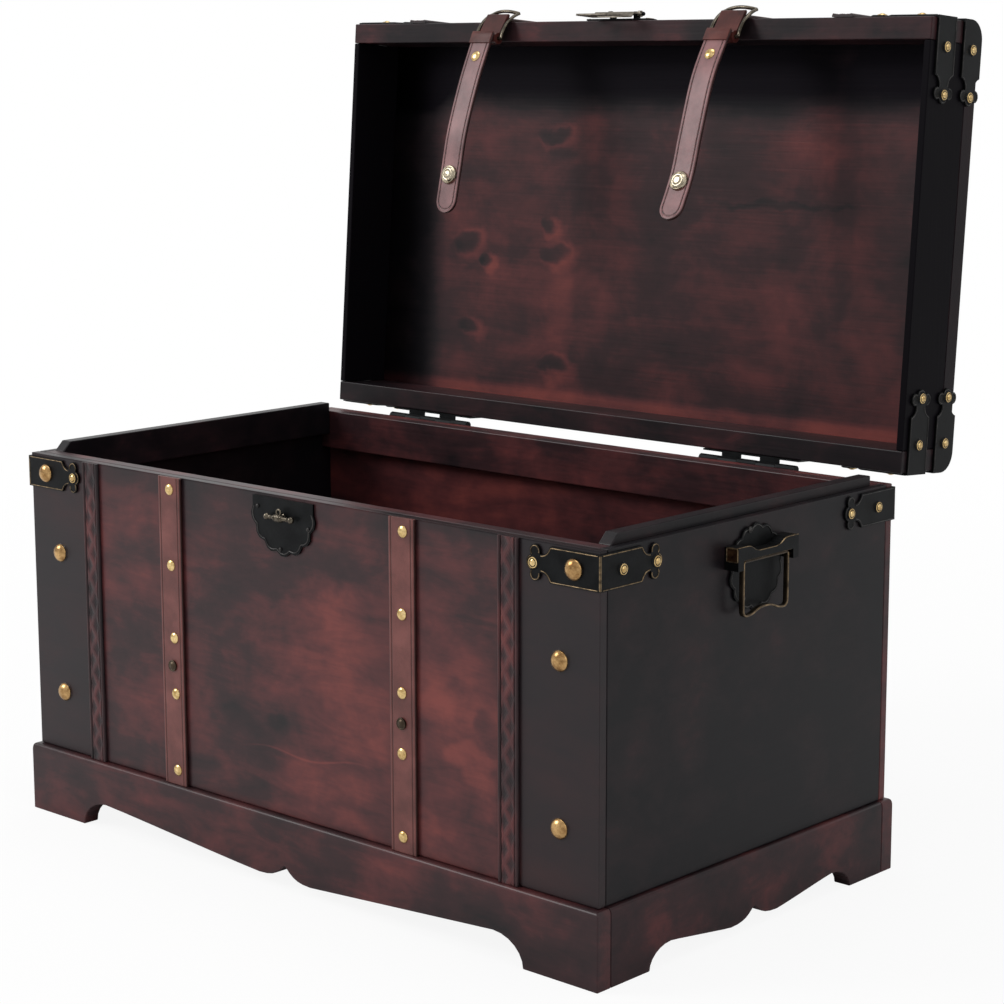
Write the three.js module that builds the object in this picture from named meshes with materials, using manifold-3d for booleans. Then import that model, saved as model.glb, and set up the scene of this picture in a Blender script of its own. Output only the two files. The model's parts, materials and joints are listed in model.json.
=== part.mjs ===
// A wooden storage chest with its lid standing open: boarded box on a scroll-cut plinth, brass-studded
// leather straps, clover-ended corner fittings, a hasp over a turn knob, and two bail handles.
// Lengths are in millimetres and angles in degrees. X runs along the front, Y to the back, Z up.
import * as THREE from 'three';
import { mergeVertices } from 'three/addons/utils/BufferGeometryUtils.js';
import Module from 'manifold-3d';

const wasm = await Module();
wasm.setup();

// Shared values
const seatGap = 0.3;
const overrun = 4;
const arcSteps = 6;
const lobeSteps = 3;
const studSides = 8;
const rodSides = 10;
const loopSides = 14;
const ballSides = 8;
const ballRings = 6;
const openAngle = 94.5;

// Box: boards that stand on the plinth
const box = { length: 650, depth: 364, rim: 323, frontBoard: 8, sideBoard: 7, bottomBoard: 8 };
const topRail = { rimWidth: 20, height: 36 };
const guide = { thickness: 11.7, height: 30, rise: 8, chamfer: 8, endGap: 0.3 };

// Plinth: four boards with a scroll-cut lower edge, standing out past the box by its steps
const plinth = {
  sideStep: 5, frontStep: 7, backStep: 5, height: 60, board: 15, edgeAcross: 3, edgeDown: 6,
};
const frontScroll = { footLength: 72, peakInset: 102, peakRise: 23, dip: 30, dipRise: 8.7, cuspRise: 20.5 };
const sideScroll = { footLength: 60, peakInset: 85, peakRise: 17, dip: 29, dipRise: 7, cuspRise: 17.4 };
const scrollShares = {
  footUp: 0.52, footIn: 0.57, slopeOut: 0.19, slopeIn: 0.2, slopeDrop: 0.13, cuspIn: 0.35, cuspUp: 0.24,
};

// Lid: a shallow tray of boards with a thick rounded top
const lid = { height: 71, rimGap: 0.4, topBoard: 15.5, edgeRadius: 15, frontBoard: 18, sideBoard: 6 };

// Leather straps and carved battens, placed from the ends of the box
const strap = { width: 27, thickness: 3, leftInset: 187.5, rightInset: 194.5 };
const batten = { width: 20, thickness: 3, leftInset: 83.5, rightInset: 85.5 };

// Domed nails
const stud = { diameter: 11, height: 2.2, root: 1, shoulderShare: 0.7, crownShare: 0.72 };
const boss = { diameter: 17, height: 4.5, inset: 37, upperZ: 238, lowerZ: 113 };
const snap = { diameter: 9.5, height: 2 };
const strapStudZ = [312.5, 248.5, 187, 139, 73];
const snapZ = 163;
const lidStudShares = [0.2, 0.5, 0.8];

// Corner fittings with clover ends
const fitting = {
  thickness: 1.5, halfHeight: 13.4, straight: 45, neck: 54.2, neckHalf: 6.4, bigStud: 22.5, smallStud: 60.5,
  lobeAt: 59.5, lobeOff: 8.5, lobeRadius: 5, tipAt: 61.7, tipRadius: 6, taperShare: 0.25,
};
const baseFitting = { centreZ: 307 };
const lidFitting = { rimShare: 0.289, topInset: 12, fold: 13 };

// Hinges on the back
const hinge = {
  length: 100, leftInset: 126, rightInset: 150, setBack: 8.5, drop: 2, knuckle: 4, pin: 1.7, leaf: 1.5,
  leafDrop: 40, leafRise: 36, segments: 5, lobes: 5, lobeDepth: 5,
};

// Latch plate, turn knob and hasp
const scallop = { valleyShare: 0.92 };
const latch = { radius: 37.8, centreZ: 312, topZ: 320.5, thickness: 1.5, lobes: 7 };
const knob = {
  z: 306, post: 3, proud: 8.5, barHalf: 13.8, barHigh: 4, barInner: 4, barOuter: 7.5, ball: 2.7,
};
const hasp = {
  plateRadius: 37, plateRise: 2, pinRise: 14, pinProud: 6.65, pinRadius: 1.35, pinHalf: 20.4, pinBall: 1.9,
  lugInner: 12, lugThick: 3, lugHalf: 3, lugProud: 8.6, eye: 2.9, leafHalf: 22, leaf: 1.4, leafTop: 4.6,
  crankStart: 15, crankEnd: 18, leafProud: 2.2, tipBeyond: 31, slotHalf: 17.5, slotStart: 4, slotEnd: 21,
  tipRadius: 7,
};

// Bail handles on the sides
const handle = {
  z: 284, plateRadius: 34, plate: 1.5, lobes: 14, hoodHalf: 37.8, hoodLow: 10.5, hoodHigh: 20.5,
  hoodWaist: 15.4, hoodProud: 13, earInner: 31, earLow: 3, rodUp: 6, rodOut: 9, rodRadius: 1.6, rodHalf: 35,
};
const hoodShares = { shoulder: 0.68, bend: 0.48, waist: 0.28 };
const bail = {
  half: 28.75, band: 2.5, depth: 6, foot: 34.2, raise: 4.5, corner: 7, top: 1.25, waveShare: 0.45,
};

// Strap ends on the lid rim: leather keeper, curved buckle frame and hanging tongue
const keeper = { width: 25, thickness: 3.4, pivotProud: 2.1, pivotDrop: 1, length: 24.6, leanAngle: 34.6 };
const buckle = {
  width: 34, side: 3.2, thickness: 2.5, bar: 1.6, length: 35.4, rise: 4.5, angle: 41.6, archRise: 3,
  archSteps: 8,
};
const tongue = {
  width: 24, thickness: 3, length: 166, wrapAngle: 27, leftAngle: 18.3, rightAngle: 23.5, rivetAt: 20,
  rivet: 8, rivetHeight: 1.6, snapAt: 131, snap: 14.5, snapHeight: 3.6, samples: 12, wrapSteps: 3,
};
const tongueShares = [[0.25, -0.018], [0.54, 0.034], [0.76, 0.028], [1, 0]];

// Places worked out from the sizes
const turn = (degrees) => THREE.MathUtils.degToRad(degrees);
const plinthDepth = box.depth + plinth.frontStep + plinth.backStep;
const frontY = -plinthDepth / 2 + plinth.frontStep;
const backY = frontY + box.depth;
const sideX = box.length / 2;
const plinthX = sideX + plinth.sideStep;
const fromEnds = (piece) => [piece.leftInset - sideX, sideX - piece.rightInset];
const [leftStrapX, rightStrapX] = fromEnds(strap);
const [leftBattenX, rightBattenX] = fromEnds(batten);
const [leftHingeX, rightHingeX] = fromEnds(hinge);
const hingeY = backY + hinge.setBack;
const hingeZ = box.rim - hinge.drop;
const lidRim = box.rim + lid.rimGap;
const lidTop = lidRim + lid.height;
const boxFloor = plinth.height + seatGap;
const innerX = sideX - box.sideBoard - seatGap;
const innerFrontY = frontY + box.frontBoard + seatGap;
const innerBackY = backY - box.frontBoard - seatGap;
const railFrontY = frontY + topRail.rimWidth;
const railBackY = backY - topRail.rimWidth;

const finish = (color, roughness, metalness = 0) => (
  new THREE.MeshStandardMaterial({ color, roughness, metalness }));
const redWood = finish(0x3a1712, 0.45);
const darkWood = finish(0x1d0f0d, 0.4);
const innerWood = finish(0x7a3f2a, 0.6);
const leather = finish(0x4a2416, 0.6);
const blackMetal = finish(0x2a2622, 0.45, 0.9);

// Solids for joins and cuts
function toSolid(geometry) {
  const bare = new THREE.BufferGeometry();
  bare.setAttribute('position', geometry.attributes.position.clone());
  if (geometry.index) bare.setIndex(geometry.index.clone());
  const merged = mergeVertices(bare);
  return new wasm.Manifold(new wasm.Mesh({
    numProp: 3,
    vertProperties: new Float32Array(merged.attributes.position.array),
    triVerts: new Uint32Array(merged.index.array),
  }));
}

function toGeometry(solid) {
  const mesh = solid.getMesh();
  const geometry = new THREE.BufferGeometry();
  geometry.setAttribute('position', new THREE.BufferAttribute(mesh.vertProperties, 3));
  geometry.setIndex(new THREE.BufferAttribute(mesh.triVerts, 1));
  const flat = geometry.toNonIndexed();
  flat.computeVertexNormals();
  return flat;
}

const join = (geometries) => toGeometry(geometries.map(toSolid).reduce((all, next) => all.add(next)));
const cut = (geometry, tools) => (
  toGeometry(tools.map(toSolid).reduce((rest, tool) => rest.subtract(tool), toSolid(geometry))));
const common = (first, second) => toGeometry(toSolid(first).intersect(toSolid(second)));

// Basic forms. A sheet is drawn in u and v and is thick along w.
function block(x0, x1, y0, y1, z0, z1) {
  const geometry = new THREE.BoxGeometry(x1 - x0, y1 - y0, z1 - z0);
  return geometry.translate((x0 + x1) / 2, (y0 + y1) / 2, (z0 + z1) / 2);
}

function sheet(shape, thickness, w = 0, curveSegments = arcSteps) {
  const geometry = new THREE.ExtrudeGeometry(shape, { depth: thickness, bevelEnabled: false, curveSegments });
  return geometry.translate(0, 0, w);
}

// Turns from (u, v, w) to the face that a sheet lies on: front (u, -w, v), right (w, u, v), back (-u, w, v)
const onFront = (geometry) => geometry.rotateX(Math.PI / 2);
const onRight = (geometry) => geometry.rotateX(Math.PI / 2).rotateZ(Math.PI / 2);
const onBack = (geometry) => geometry.rotateX(Math.PI / 2).rotateZ(Math.PI);
const onLeft = (geometry) => geometry.rotateX(Math.PI / 2).rotateZ(-Math.PI / 2);

// A rod along X
function rodX(radius, x0, x1, y = 0, z = 0, sides = rodSides) {
  const geometry = new THREE.CylinderGeometry(radius, radius, x1 - x0, sides);
  return geometry.rotateZ(Math.PI / 2).translate((x0 + x1) / 2, y, z);
}

// A domed nail head standing on a sheet at (u, v, w)
function nail(diameter, height, u, v, w) {
  const radius = diameter / 2;
  const profile = [
    new THREE.Vector2(0, -stud.root),
    new THREE.Vector2(radius, -stud.root),
    new THREE.Vector2(radius, 0),
    new THREE.Vector2(radius * stud.shoulderShare, height * stud.crownShare),
    new THREE.Vector2(0, height),
  ];
  return new THREE.LatheGeometry(profile, studSides).rotateX(Math.PI / 2).translate(u, v, w);
}

function rectangle(u0, u1, v0, v1) {
  const shape = new THREE.Shape();
  shape.moveTo(u0, v0);
  shape.lineTo(u1, v0);
  shape.lineTo(u1, v1);
  shape.lineTo(u0, v1);
  shape.closePath();
  return shape;
}

// Scalloped edge round a centre, drawn counterclockwise from one valley to the last
function addScallops(path, cu, cv, radius, start, sweep, lobes) {
  const valley = radius * scallop.valleyShare;
  const half = sweep / lobes / 2;
  const pull = 2 * radius - valley * Math.cos(half);
  for (let i = 0; i < lobes; i += 1) {
    const mid = start + half * (2 * i + 1);
    const end = mid + half;
    path.quadraticCurveTo(
      cu + pull * Math.cos(mid), cv + pull * Math.sin(mid),
      cu + valley * Math.cos(end), cv + valley * Math.sin(end),
    );
  }
}

const chest = new THREE.Group();
const closedFrame = new THREE.Group();
const lidGroup = new THREE.Group();
lidGroup.position.set(0, hingeY, hingeZ);
lidGroup.rotation.x = turn(-openAngle);
closedFrame.position.set(0, -hingeY, -hingeZ);
lidGroup.add(closedFrame);
chest.add(lidGroup);

function add(parent, name, geometry, material) {
  const mesh = new THREE.Mesh(geometry, material);
  mesh.name = name;
  parent.add(mesh);
  return mesh;
}

// Plinth. From the inner end of the foot the scroll rises to a peak, dips, and meets in a cusp at the middle.
function addScroll(shape, end, scroll) {
  const share = scrollShares;
  const foot = end - scroll.footLength;
  const peak = end - scroll.peakInset;
  const footSpan = foot - peak;
  const slopeSpan = peak - scroll.dip;
  const slopeFall = scroll.peakRise - scroll.dipRise;
  const curves = [
    [foot, scroll.peakRise * share.footUp, peak + footSpan * share.footIn, scroll.peakRise],
    [peak - slopeSpan * share.slopeOut, scroll.peakRise - slopeFall * share.slopeDrop,
      scroll.dip + slopeSpan * share.slopeIn, scroll.dipRise + slopeFall * share.slopeDrop],
    [scroll.dip * share.cuspIn, scroll.dipRise,
      scroll.dip * share.cuspUp, (scroll.dipRise + scroll.cuspRise) / 2],
  ];
  const ends = [[foot, 0], [peak, scroll.peakRise], [scroll.dip, scroll.dipRise], [0, scroll.cuspRise]];
  shape.lineTo(-foot, 0);
  curves.forEach(([ax, az, bx, bz], i) => {
    const [x, z] = ends[i + 1];
    shape.bezierCurveTo(-ax, az, -bx, bz, -x, z);
  });
  for (let i = curves.length - 1; i >= 0; i -= 1) {
    const [ax, az, bx, bz] = curves[i];
    shape.bezierCurveTo(bx, bz, ax, az, ends[i][0], ends[i][1]);
  }
}

function apronShape(half, end, scroll, across, down) {
  const shape = new THREE.Shape();
  shape.moveTo(half, 0);
  shape.lineTo(half, plinth.height - down);
  if (across > 0) shape.quadraticCurveTo(half, plinth.height, half - across, plinth.height);
  shape.lineTo(-half + across, plinth.height);
  if (across > 0) shape.quadraticCurveTo(-half, plinth.height, -half, plinth.height - down);
  shape.lineTo(-half, 0);
  addScroll(shape, end, scroll);
  shape.closePath();
  return shape;
}

// Cross-section of a plinth board, with its outer face at u = 0 and its top edge eased
function boardSection() {
  const shape = new THREE.Shape();
  shape.moveTo(0, 0);
  shape.lineTo(plinth.board, 0);
  shape.lineTo(plinth.board, plinth.height);
  shape.lineTo(plinth.edgeAcross, plinth.height);
  shape.quadraticCurveTo(0, plinth.height, 0, plinth.height - plinth.edgeDown);
  shape.closePath();
  return shape;
}

function plinthBoard(half, end, scroll, across, down) {
  const apron = onFront(sheet(apronShape(half, end, scroll, across, down), plinth.board, -plinth.board));
  const section = onRight(sheet(boardSection(), 2 * (half + overrun), -half - overrun));
  return common(apron, section);
}

const longBoard = plinthBoard(plinthX, plinthX, frontScroll, plinth.edgeAcross, plinth.edgeDown);
const shortHalf = plinthDepth / 2 - plinth.board - seatGap;
const shortBoard = plinthBoard(shortHalf, plinthDepth / 2, sideScroll, 0, 0);
add(chest, 'plinth_front', longBoard, redWood).position.y = -plinthDepth / 2;
const plinthBack = add(chest, 'plinth_back', longBoard, redWood);
plinthBack.position.y = plinthDepth / 2;
plinthBack.rotation.z = Math.PI;
for (const [name, side] of [['plinth_left', -1], ['plinth_right', 1]]) {
  const board = add(chest, name, shortBoard, darkWood);
  board.position.x = side * plinthX;
  board.rotation.z = side * Math.PI / 2;
}

// Box boards. The front carries two domed bosses in each plain end zone.
const bossX = sideX - boss.inset;
const bossPlaces = [-bossX, bossX].flatMap((x) => [[x, boss.upperZ], [x, boss.lowerZ]]);
const frontSheet = sheet(rectangle(-sideX, sideX, boxFloor, box.rim), box.frontBoard, -box.frontBoard);
const bossNails = bossPlaces.map(([x, z]) => nail(boss.diameter, boss.height, x, z, 0));
const frontBoard = join([frontSheet, ...bossNails]);
add(chest, 'base_front', onFront(frontBoard), darkWood).position.y = frontY;
add(chest, 'base_back', block(-sideX, sideX, backY - box.frontBoard, backY, boxFloor, box.rim), darkWood);
for (const [name, x0] of [['base_left_side', -sideX], ['base_right_side', sideX - box.sideBoard]]) {
  add(chest, name, block(x0, x0 + box.sideBoard, innerFrontY, innerBackY, boxFloor, box.rim), darkWood);
}
const bottomTop = boxFloor + box.bottomBoard;
add(chest, 'base_bottom', block(-innerX, innerX, innerFrontY, innerBackY, boxFloor, bottomTop), innerWood);
const railZ = box.rim - topRail.height;
add(chest, 'front_top_rail', block(-innerX, innerX, innerFrontY, railFrontY, railZ, box.rim), redWood);
add(chest, 'back_top_rail', block(-innerX, innerX, railBackY, innerBackY, railZ, box.rim), redWood);

// Guides on the side boards lead the lid down. Their top front edge is chamfered.
function guideShape() {
  const front = railFrontY + guide.endGap;
  const back = railBackY - guide.endGap;
  const top = box.rim + guide.rise;
  const shape = new THREE.Shape();
  shape.moveTo(front, top - guide.height);
  shape.lineTo(back, top - guide.height);
  shape.lineTo(back, top);
  shape.lineTo(front + guide.chamfer, top);
  shape.lineTo(front, top - guide.chamfer);
  shape.closePath();
  return shape;
}
for (const [name, x0] of [['left_lid_guide', -innerX], ['right_lid_guide', innerX - guide.thickness]]) {
  add(chest, name, onRight(sheet(guideShape(), guide.thickness, x0)), innerWood);
}

// Battens and leather straps on the front
const frontPieceTop = box.rim - seatGap;
function frontStrip(x, width, thickness, nails) {
  const strip = sheet(rectangle(-width / 2, width / 2, boxFloor, frontPieceTop), thickness, seatGap);
  const solid = nails.length ? join([strip, ...nails]) : strip;
  return onFront(solid).translate(x, frontY, 0);
}
add(chest, 'front_left_batten', frontStrip(leftBattenX, batten.width, batten.thickness, []), redWood);
add(chest, 'front_right_batten', frontStrip(rightBattenX, batten.width, batten.thickness, []), redWood);
const strapFace = seatGap + strap.thickness;
for (const [name, x] of [['front_left_strap', leftStrapX], ['front_right_strap', rightStrapX]]) {
  const nails = strapStudZ.map((z) => nail(stud.diameter, stud.height, 0, z, strapFace));
  nails.push(nail(snap.diameter, snap.height, 0, snapZ, strapFace));
  add(chest, name, frontStrip(x, strap.width, strap.thickness, nails), leather);
}

// Corner fittings. One arm is a plate with a tapered neck and three round lobes at its end.
function armShape(start) {
  const f = fitting;
  const span = Math.hypot(f.tipAt - f.lobeAt, f.lobeOff);
  const toTip = Math.atan2(f.lobeOff, f.tipAt - f.lobeAt);
  const lobeHalf = Math.acos((span ** 2 + f.lobeRadius ** 2 - f.tipRadius ** 2) / (2 * span * f.lobeRadius));
  const tipHalf = Math.acos((span ** 2 + f.tipRadius ** 2 - f.lobeRadius ** 2) / (2 * span * f.tipRadius));
  const neckAngle = Math.atan2(f.lobeOff - f.neckHalf, f.neck - f.lobeAt);
  const bend = f.straight + (f.neck - f.straight) * f.taperShare;
  const shape = new THREE.Shape();
  shape.moveTo(start, -f.halfHeight);
  shape.lineTo(f.straight, -f.halfHeight);
  shape.quadraticCurveTo(bend, -f.neckHalf, f.neck, -f.neckHalf);
  shape.absarc(f.lobeAt, -f.lobeOff, f.lobeRadius, neckAngle, 2 * Math.PI + toTip - lobeHalf, false);
  const tipEnd = Math.PI - toTip - tipHalf;
  shape.absarc(f.tipAt, 0, f.tipRadius, -tipEnd, tipEnd, false);
  shape.absarc(f.lobeAt, f.lobeOff, f.lobeRadius, lobeHalf - toTip, 2 * Math.PI - neckAngle, false);
  shape.quadraticCurveTo(bend, f.neckHalf, f.straight, f.halfHeight);
  shape.lineTo(start, f.halfHeight);
  shape.closePath();
  return shape;
}

const plateFace = seatGap + fitting.thickness;
function fittingArm(head) {
  return join([
    sheet(armShape(-plateFace), fitting.thickness, seatGap, lobeSteps + 1),
    nail(head.diameter, head.height, fitting.bigStud, 0, plateFace),
    nail(stud.diameter, stud.height, fitting.smallStud, 0, plateFace),
  ]);
}

// Right-hand front corner at the origin: one arm runs along -X on the front, the other along +Y on the side.
// A quarter turn takes it to the next corner, and the arm on the front of the box carries a boss.
function cornerFitting(frontNail, sideNail) {
  const sideArm = onRight(fittingArm(sideNail));
  const frontArm = onFront(fittingArm(frontNail).rotateZ(Math.PI));
  return join([sideArm, frontArm]);
}

// The fitting on the rounded top edge of the lid: its front arm bends over the edge, its side arm is folded
// onto the top. side is 1 for the right-hand corner and -1 for the left.
function wrapShape(inner, outer, drop, reach) {
  const r = lid.edgeRadius;
  const shape = new THREE.Shape();
  shape.moveTo(-outer, -drop);
  shape.lineTo(-outer, -r);
  shape.absarc(r, -r, r + outer, Math.PI, Math.PI / 2, true);
  shape.lineTo(reach, outer);
  shape.lineTo(reach, inner);
  shape.lineTo(r, inner);
  shape.absarc(r, -r, r + inner, Math.PI / 2, Math.PI, false);
  shape.lineTo(-inner, -drop);
  shape.closePath();
  return shape;
}

function topFitting(side) {
  const drop = fitting.halfHeight + lidFitting.topInset;
  const reach = lid.edgeRadius + lidFitting.fold;
  const arm = fittingArm(stud).rotateZ(side > 0 ? 0 : Math.PI);
  const flatArm = (side > 0 ? onRight(arm) : onLeft(arm)).translate(0, 0, -lidFitting.topInset);
  const r = lid.edgeRadius;
  const far = fitting.tipAt + fitting.tipRadius + overrun;
  const under = new THREE.Shape();
  under.moveTo(-plateFace, -2 * drop);
  under.lineTo(far, -2 * drop);
  under.lineTo(far, plateFace);
  under.lineTo(r, plateFace);
  under.absarc(r, -r, r + plateFace, Math.PI / 2, Math.PI, false);
  under.closePath();
  const trimmed = common(flatArm, onRight(sheet(under, 2 * far, -far)));
  const x0 = side > 0 ? -fitting.straight : -plateFace;
  const bent = onRight(sheet(wrapShape(seatGap, plateFace, drop, reach), fitting.straight + plateFace, x0));
  const foldX = side > 0 ? [-lidFitting.fold, plateFace] : [-plateFace, lidFitting.fold];
  const fold = block(...foldX, r, fitting.straight, seatGap, plateFace);
  return join([trimmed, bent, fold]);
}

const corners = [
  ['front_right', 1, frontY], ['back_right', 1, backY], ['back_left', -1, backY], ['front_left', -1, frontY],
];
const lidCorner = cornerFitting(stud, stud);
const baseCorners = [cornerFitting(boss, stud), lidCorner, lidCorner, cornerFitting(stud, boss)];
const topRight = topFitting(1);
const topLeft = topFitting(-1);
corners.forEach(([place, side, y], quarter) => {
  const lower = add(chest, `base_${place}_fitting`, baseCorners[quarter], blackMetal);
  lower.position.set(side * sideX, y, baseFitting.centreZ);
  lower.rotation.z = quarter * Math.PI / 2;
  const rim = add(closedFrame, `lid_${place}_rim_fitting`, lidCorner, blackMetal);
  rim.position.set(side * sideX, y, lidRim + lid.height * lidFitting.rimShare);
  rim.rotation.z = quarter * Math.PI / 2;
  const atBack = y > 0;
  const bent = (side > 0) === atBack ? topLeft : topRight;
  const top = add(closedFrame, `lid_${place}_top_fitting`, bent, blackMetal);
  top.position.set(side * sideX, y, lidTop);
  top.rotation.z = atBack ? Math.PI : 0;
});

// Lid boards
function lidTopShape() {
  const r = lid.edgeRadius;
  const under = lidTop - lid.topBoard;
  const shape = new THREE.Shape();
  shape.moveTo(frontY, under);
  shape.lineTo(backY, under);
  shape.lineTo(backY, lidTop - r);
  shape.absarc(backY - r, lidTop - r, r, 0, Math.PI / 2, false);
  shape.lineTo(frontY + r, lidTop);
  shape.absarc(frontY + r, lidTop - r, r, Math.PI / 2, Math.PI, false);
  shape.closePath();
  return shape;
}
add(closedFrame, 'lid_top', onRight(sheet(lidTopShape(), box.length, -sideX)), darkWood);
const lidWallTop = lidTop - lid.topBoard - seatGap;
const lidInnerFront = frontY + lid.frontBoard;
const lidInnerBack = backY - lid.frontBoard;
add(closedFrame, 'lid_front', block(-sideX, sideX, frontY, lidInnerFront, lidRim, lidWallTop), redWood);
add(closedFrame, 'lid_back', block(-sideX, sideX, lidInnerBack, backY, lidRim, lidWallTop), redWood);
for (const [name, x0] of [['lid_left_side', -sideX], ['lid_right_side', sideX - lid.sideBoard]]) {
  const [y0, y1] = [lidInnerFront + seatGap, lidInnerBack - seatGap];
  add(closedFrame, name, block(x0, x0 + lid.sideBoard, y0, y1, lidRim, lidWallTop), darkWood);
}

// Straps and battens run up the lid front and over its top
function overLid(width, thickness, nails) {
  const reach = box.depth - lid.edgeRadius;
  const band = onRight(sheet(wrapShape(seatGap, seatGap + thickness, lid.height, reach), width, -width / 2));
  return nails.length ? join([band, ...nails]) : band;
}
const lidNails = lidStudShares.map((share) => (
  nail(stud.diameter, stud.height, 0, share * box.depth, strapFace)));
for (const [name, x] of [['lid_left_strap', leftStrapX], ['lid_right_strap', rightStrapX]]) {
  const band = overLid(strap.width, strap.thickness, lidNails);
  add(closedFrame, name, band, leather).position.set(x, frontY, lidTop);
}
for (const [name, x] of [['lid_left_batten', leftBattenX], ['lid_right_batten', rightBattenX]]) {
  const band = overLid(batten.width, batten.thickness, []);
  add(closedFrame, name, band, redWood).position.set(x, frontY, lidTop);
}

// Hinges. Each leaf stands off its board on a web to the knuckles; the pin belongs to the lower leaf.
function leafShape(height, side) {
  const half = hinge.length / 2;
  const lobe = hinge.length / hinge.lobes;
  const depth = side * hinge.lobeDepth;
  const shape = new THREE.Shape();
  shape.moveTo(side * half, 0);
  shape.lineTo(side * half, height - depth);
  for (let i = 0; i < hinge.lobes; i += 1) {
    const u = side * (half - i * lobe);
    shape.quadraticCurveTo(u - side * lobe / 2, height + depth, u - side * lobe, height - depth);
  }
  shape.lineTo(-side * half, 0);
  shape.closePath();
  return shape;
}

function hingeLeaf(isLid) {
  const up = isLid ? 1 : -1;
  const stand = hinge.setBack - seatGap;
  const webZ = isLid ? hinge.knuckle - hinge.leaf : -hinge.knuckle;
  const height = isLid ? hinge.leafRise : hinge.leafDrop;
  const plate = onBack(sheet(leafShape(up * height, up), hinge.leaf, -stand, lobeSteps));
  plate.translate(0, 0, isLid ? webZ : webZ + hinge.leaf);
  const pitch = hinge.length / hinge.segments;
  const parts = [plate];
  for (let i = isLid ? 1 : 0; i < hinge.segments; i += 2) {
    const x0 = -hinge.length / 2 + i * pitch + seatGap / 2;
    const x1 = x0 + pitch - seatGap;
    parts.push(block(x0, x1, -stand, 0, webZ, webZ + hinge.leaf));
    parts.push(rodX(hinge.knuckle, x0, x1));
  }
  if (!isLid) parts.push(rodX(hinge.pin, -hinge.length / 2 + seatGap / 2, hinge.length / 2 - seatGap / 2));
  const leaf = join(parts);
  return isLid ? cut(leaf, [rodX(hinge.pin + seatGap, -hinge.length, hinge.length)]) : leaf;
}
const lowerLeaf = hingeLeaf(false);
const upperLeaf = hingeLeaf(true);
for (const [name, x] of [['left', leftHingeX], ['right', rightHingeX]]) {
  add(chest, `${name}_hinge_base_leaf`, lowerLeaf, blackMetal).position.set(x, hingeY, hingeZ);
  add(closedFrame, `${name}_hinge_lid_leaf`, upperLeaf, blackMetal).position.set(x, hingeY, hingeZ);
}

// Latch plate with the turn knob's bore
function latchPlate() {
  const shape = new THREE.Shape();
  const valley = latch.radius * scallop.valleyShare;
  shape.moveTo(valley, latch.topZ);
  shape.lineTo(-valley, latch.topZ);
  shape.lineTo(-valley, latch.centreZ);
  addScallops(shape, 0, latch.centreZ, latch.radius, Math.PI, Math.PI, latch.lobes);
  shape.closePath();
  const bore = new THREE.CylinderGeometry(knob.post + seatGap, knob.post + seatGap, 2 * overrun, rodSides);
  return cut(onFront(sheet(shape, latch.thickness, seatGap, lobeSteps)), [bore.translate(0, 0, knob.z)]);
}
add(chest, 'latch_plate', latchPlate(), blackMetal).position.y = frontY;

function turnKnob() {
  const post = new THREE.LatheGeometry([
    new THREE.Vector2(0, seatGap),
    new THREE.Vector2(knob.post, seatGap),
    new THREE.Vector2(knob.post, knob.barOuter - seatGap),
    new THREE.Vector2(knob.post * stud.shoulderShare, knob.proud - seatGap),
    new THREE.Vector2(0, knob.proud),
  ], rodSides).rotateX(Math.PI / 2);
  const halfHigh = knob.barHigh / 2;
  const bar = block(-knob.barHalf, knob.barHalf, -halfHigh, halfHigh, knob.barInner, knob.barOuter);
  const mid = (knob.barInner + knob.barOuter) / 2;
  const balls = [-1, 1].map((side) => {
    const ball = new THREE.SphereGeometry(knob.ball, ballSides, ballRings);
    return ball.translate(side * knob.barHalf, 0, mid + knob.ball - (knob.barOuter - knob.barInner) / 2);
  });
  return onFront(join([post, bar, ...balls]));
}
add(chest, 'turn_knob', turnKnob(), blackMetal).position.set(0, frontY, knob.z);

// Hasp on the lid: a scalloped plate with two lugs, a pin with ball ends, and the slotted leaf
const pinZ = lidRim + hasp.pinRise;
function haspPlate() {
  const low = lidRim + hasp.plateRise;
  const valley = hasp.plateRadius * scallop.valleyShare;
  const shape = new THREE.Shape();
  shape.moveTo(-valley, low);
  shape.lineTo(valley, low);
  shape.lineTo(valley, low + hasp.plateRise);
  addScallops(shape, 0, low + hasp.plateRise, hasp.plateRadius, 0, Math.PI, latch.lobes);
  shape.closePath();
  const lugs = [-hasp.lugInner - hasp.lugThick, hasp.lugInner].map((x) => (
    block(x, x + hasp.lugThick, pinZ - hasp.lugHalf, pinZ + hasp.lugHalf, seatGap, hasp.lugProud)));
  const plate = join([sheet(shape, latch.thickness, seatGap, lobeSteps), ...lugs]);
  const bore = rodX(hasp.pinRadius + seatGap, -hasp.plateRadius, hasp.plateRadius, pinZ, hasp.pinProud);
  return onFront(cut(plate, [bore]));
}
add(closedFrame, 'hasp_plate', haspPlate(), blackMetal).position.y = frontY;

function haspPin() {
  const ball = new THREE.SphereGeometry(hasp.pinBall, ballSides, ballRings);
  const balls = [-1, 1].map((side) => ball.clone().translate(side * hasp.pinHalf, 0, 0));
  return join([rodX(hasp.pinRadius, -hasp.pinHalf, hasp.pinHalf), ...balls]);
}
add(closedFrame, 'hasp_pin', haspPin(), blackMetal).position.set(0, frontY - hasp.pinProud, pinZ);

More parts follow.
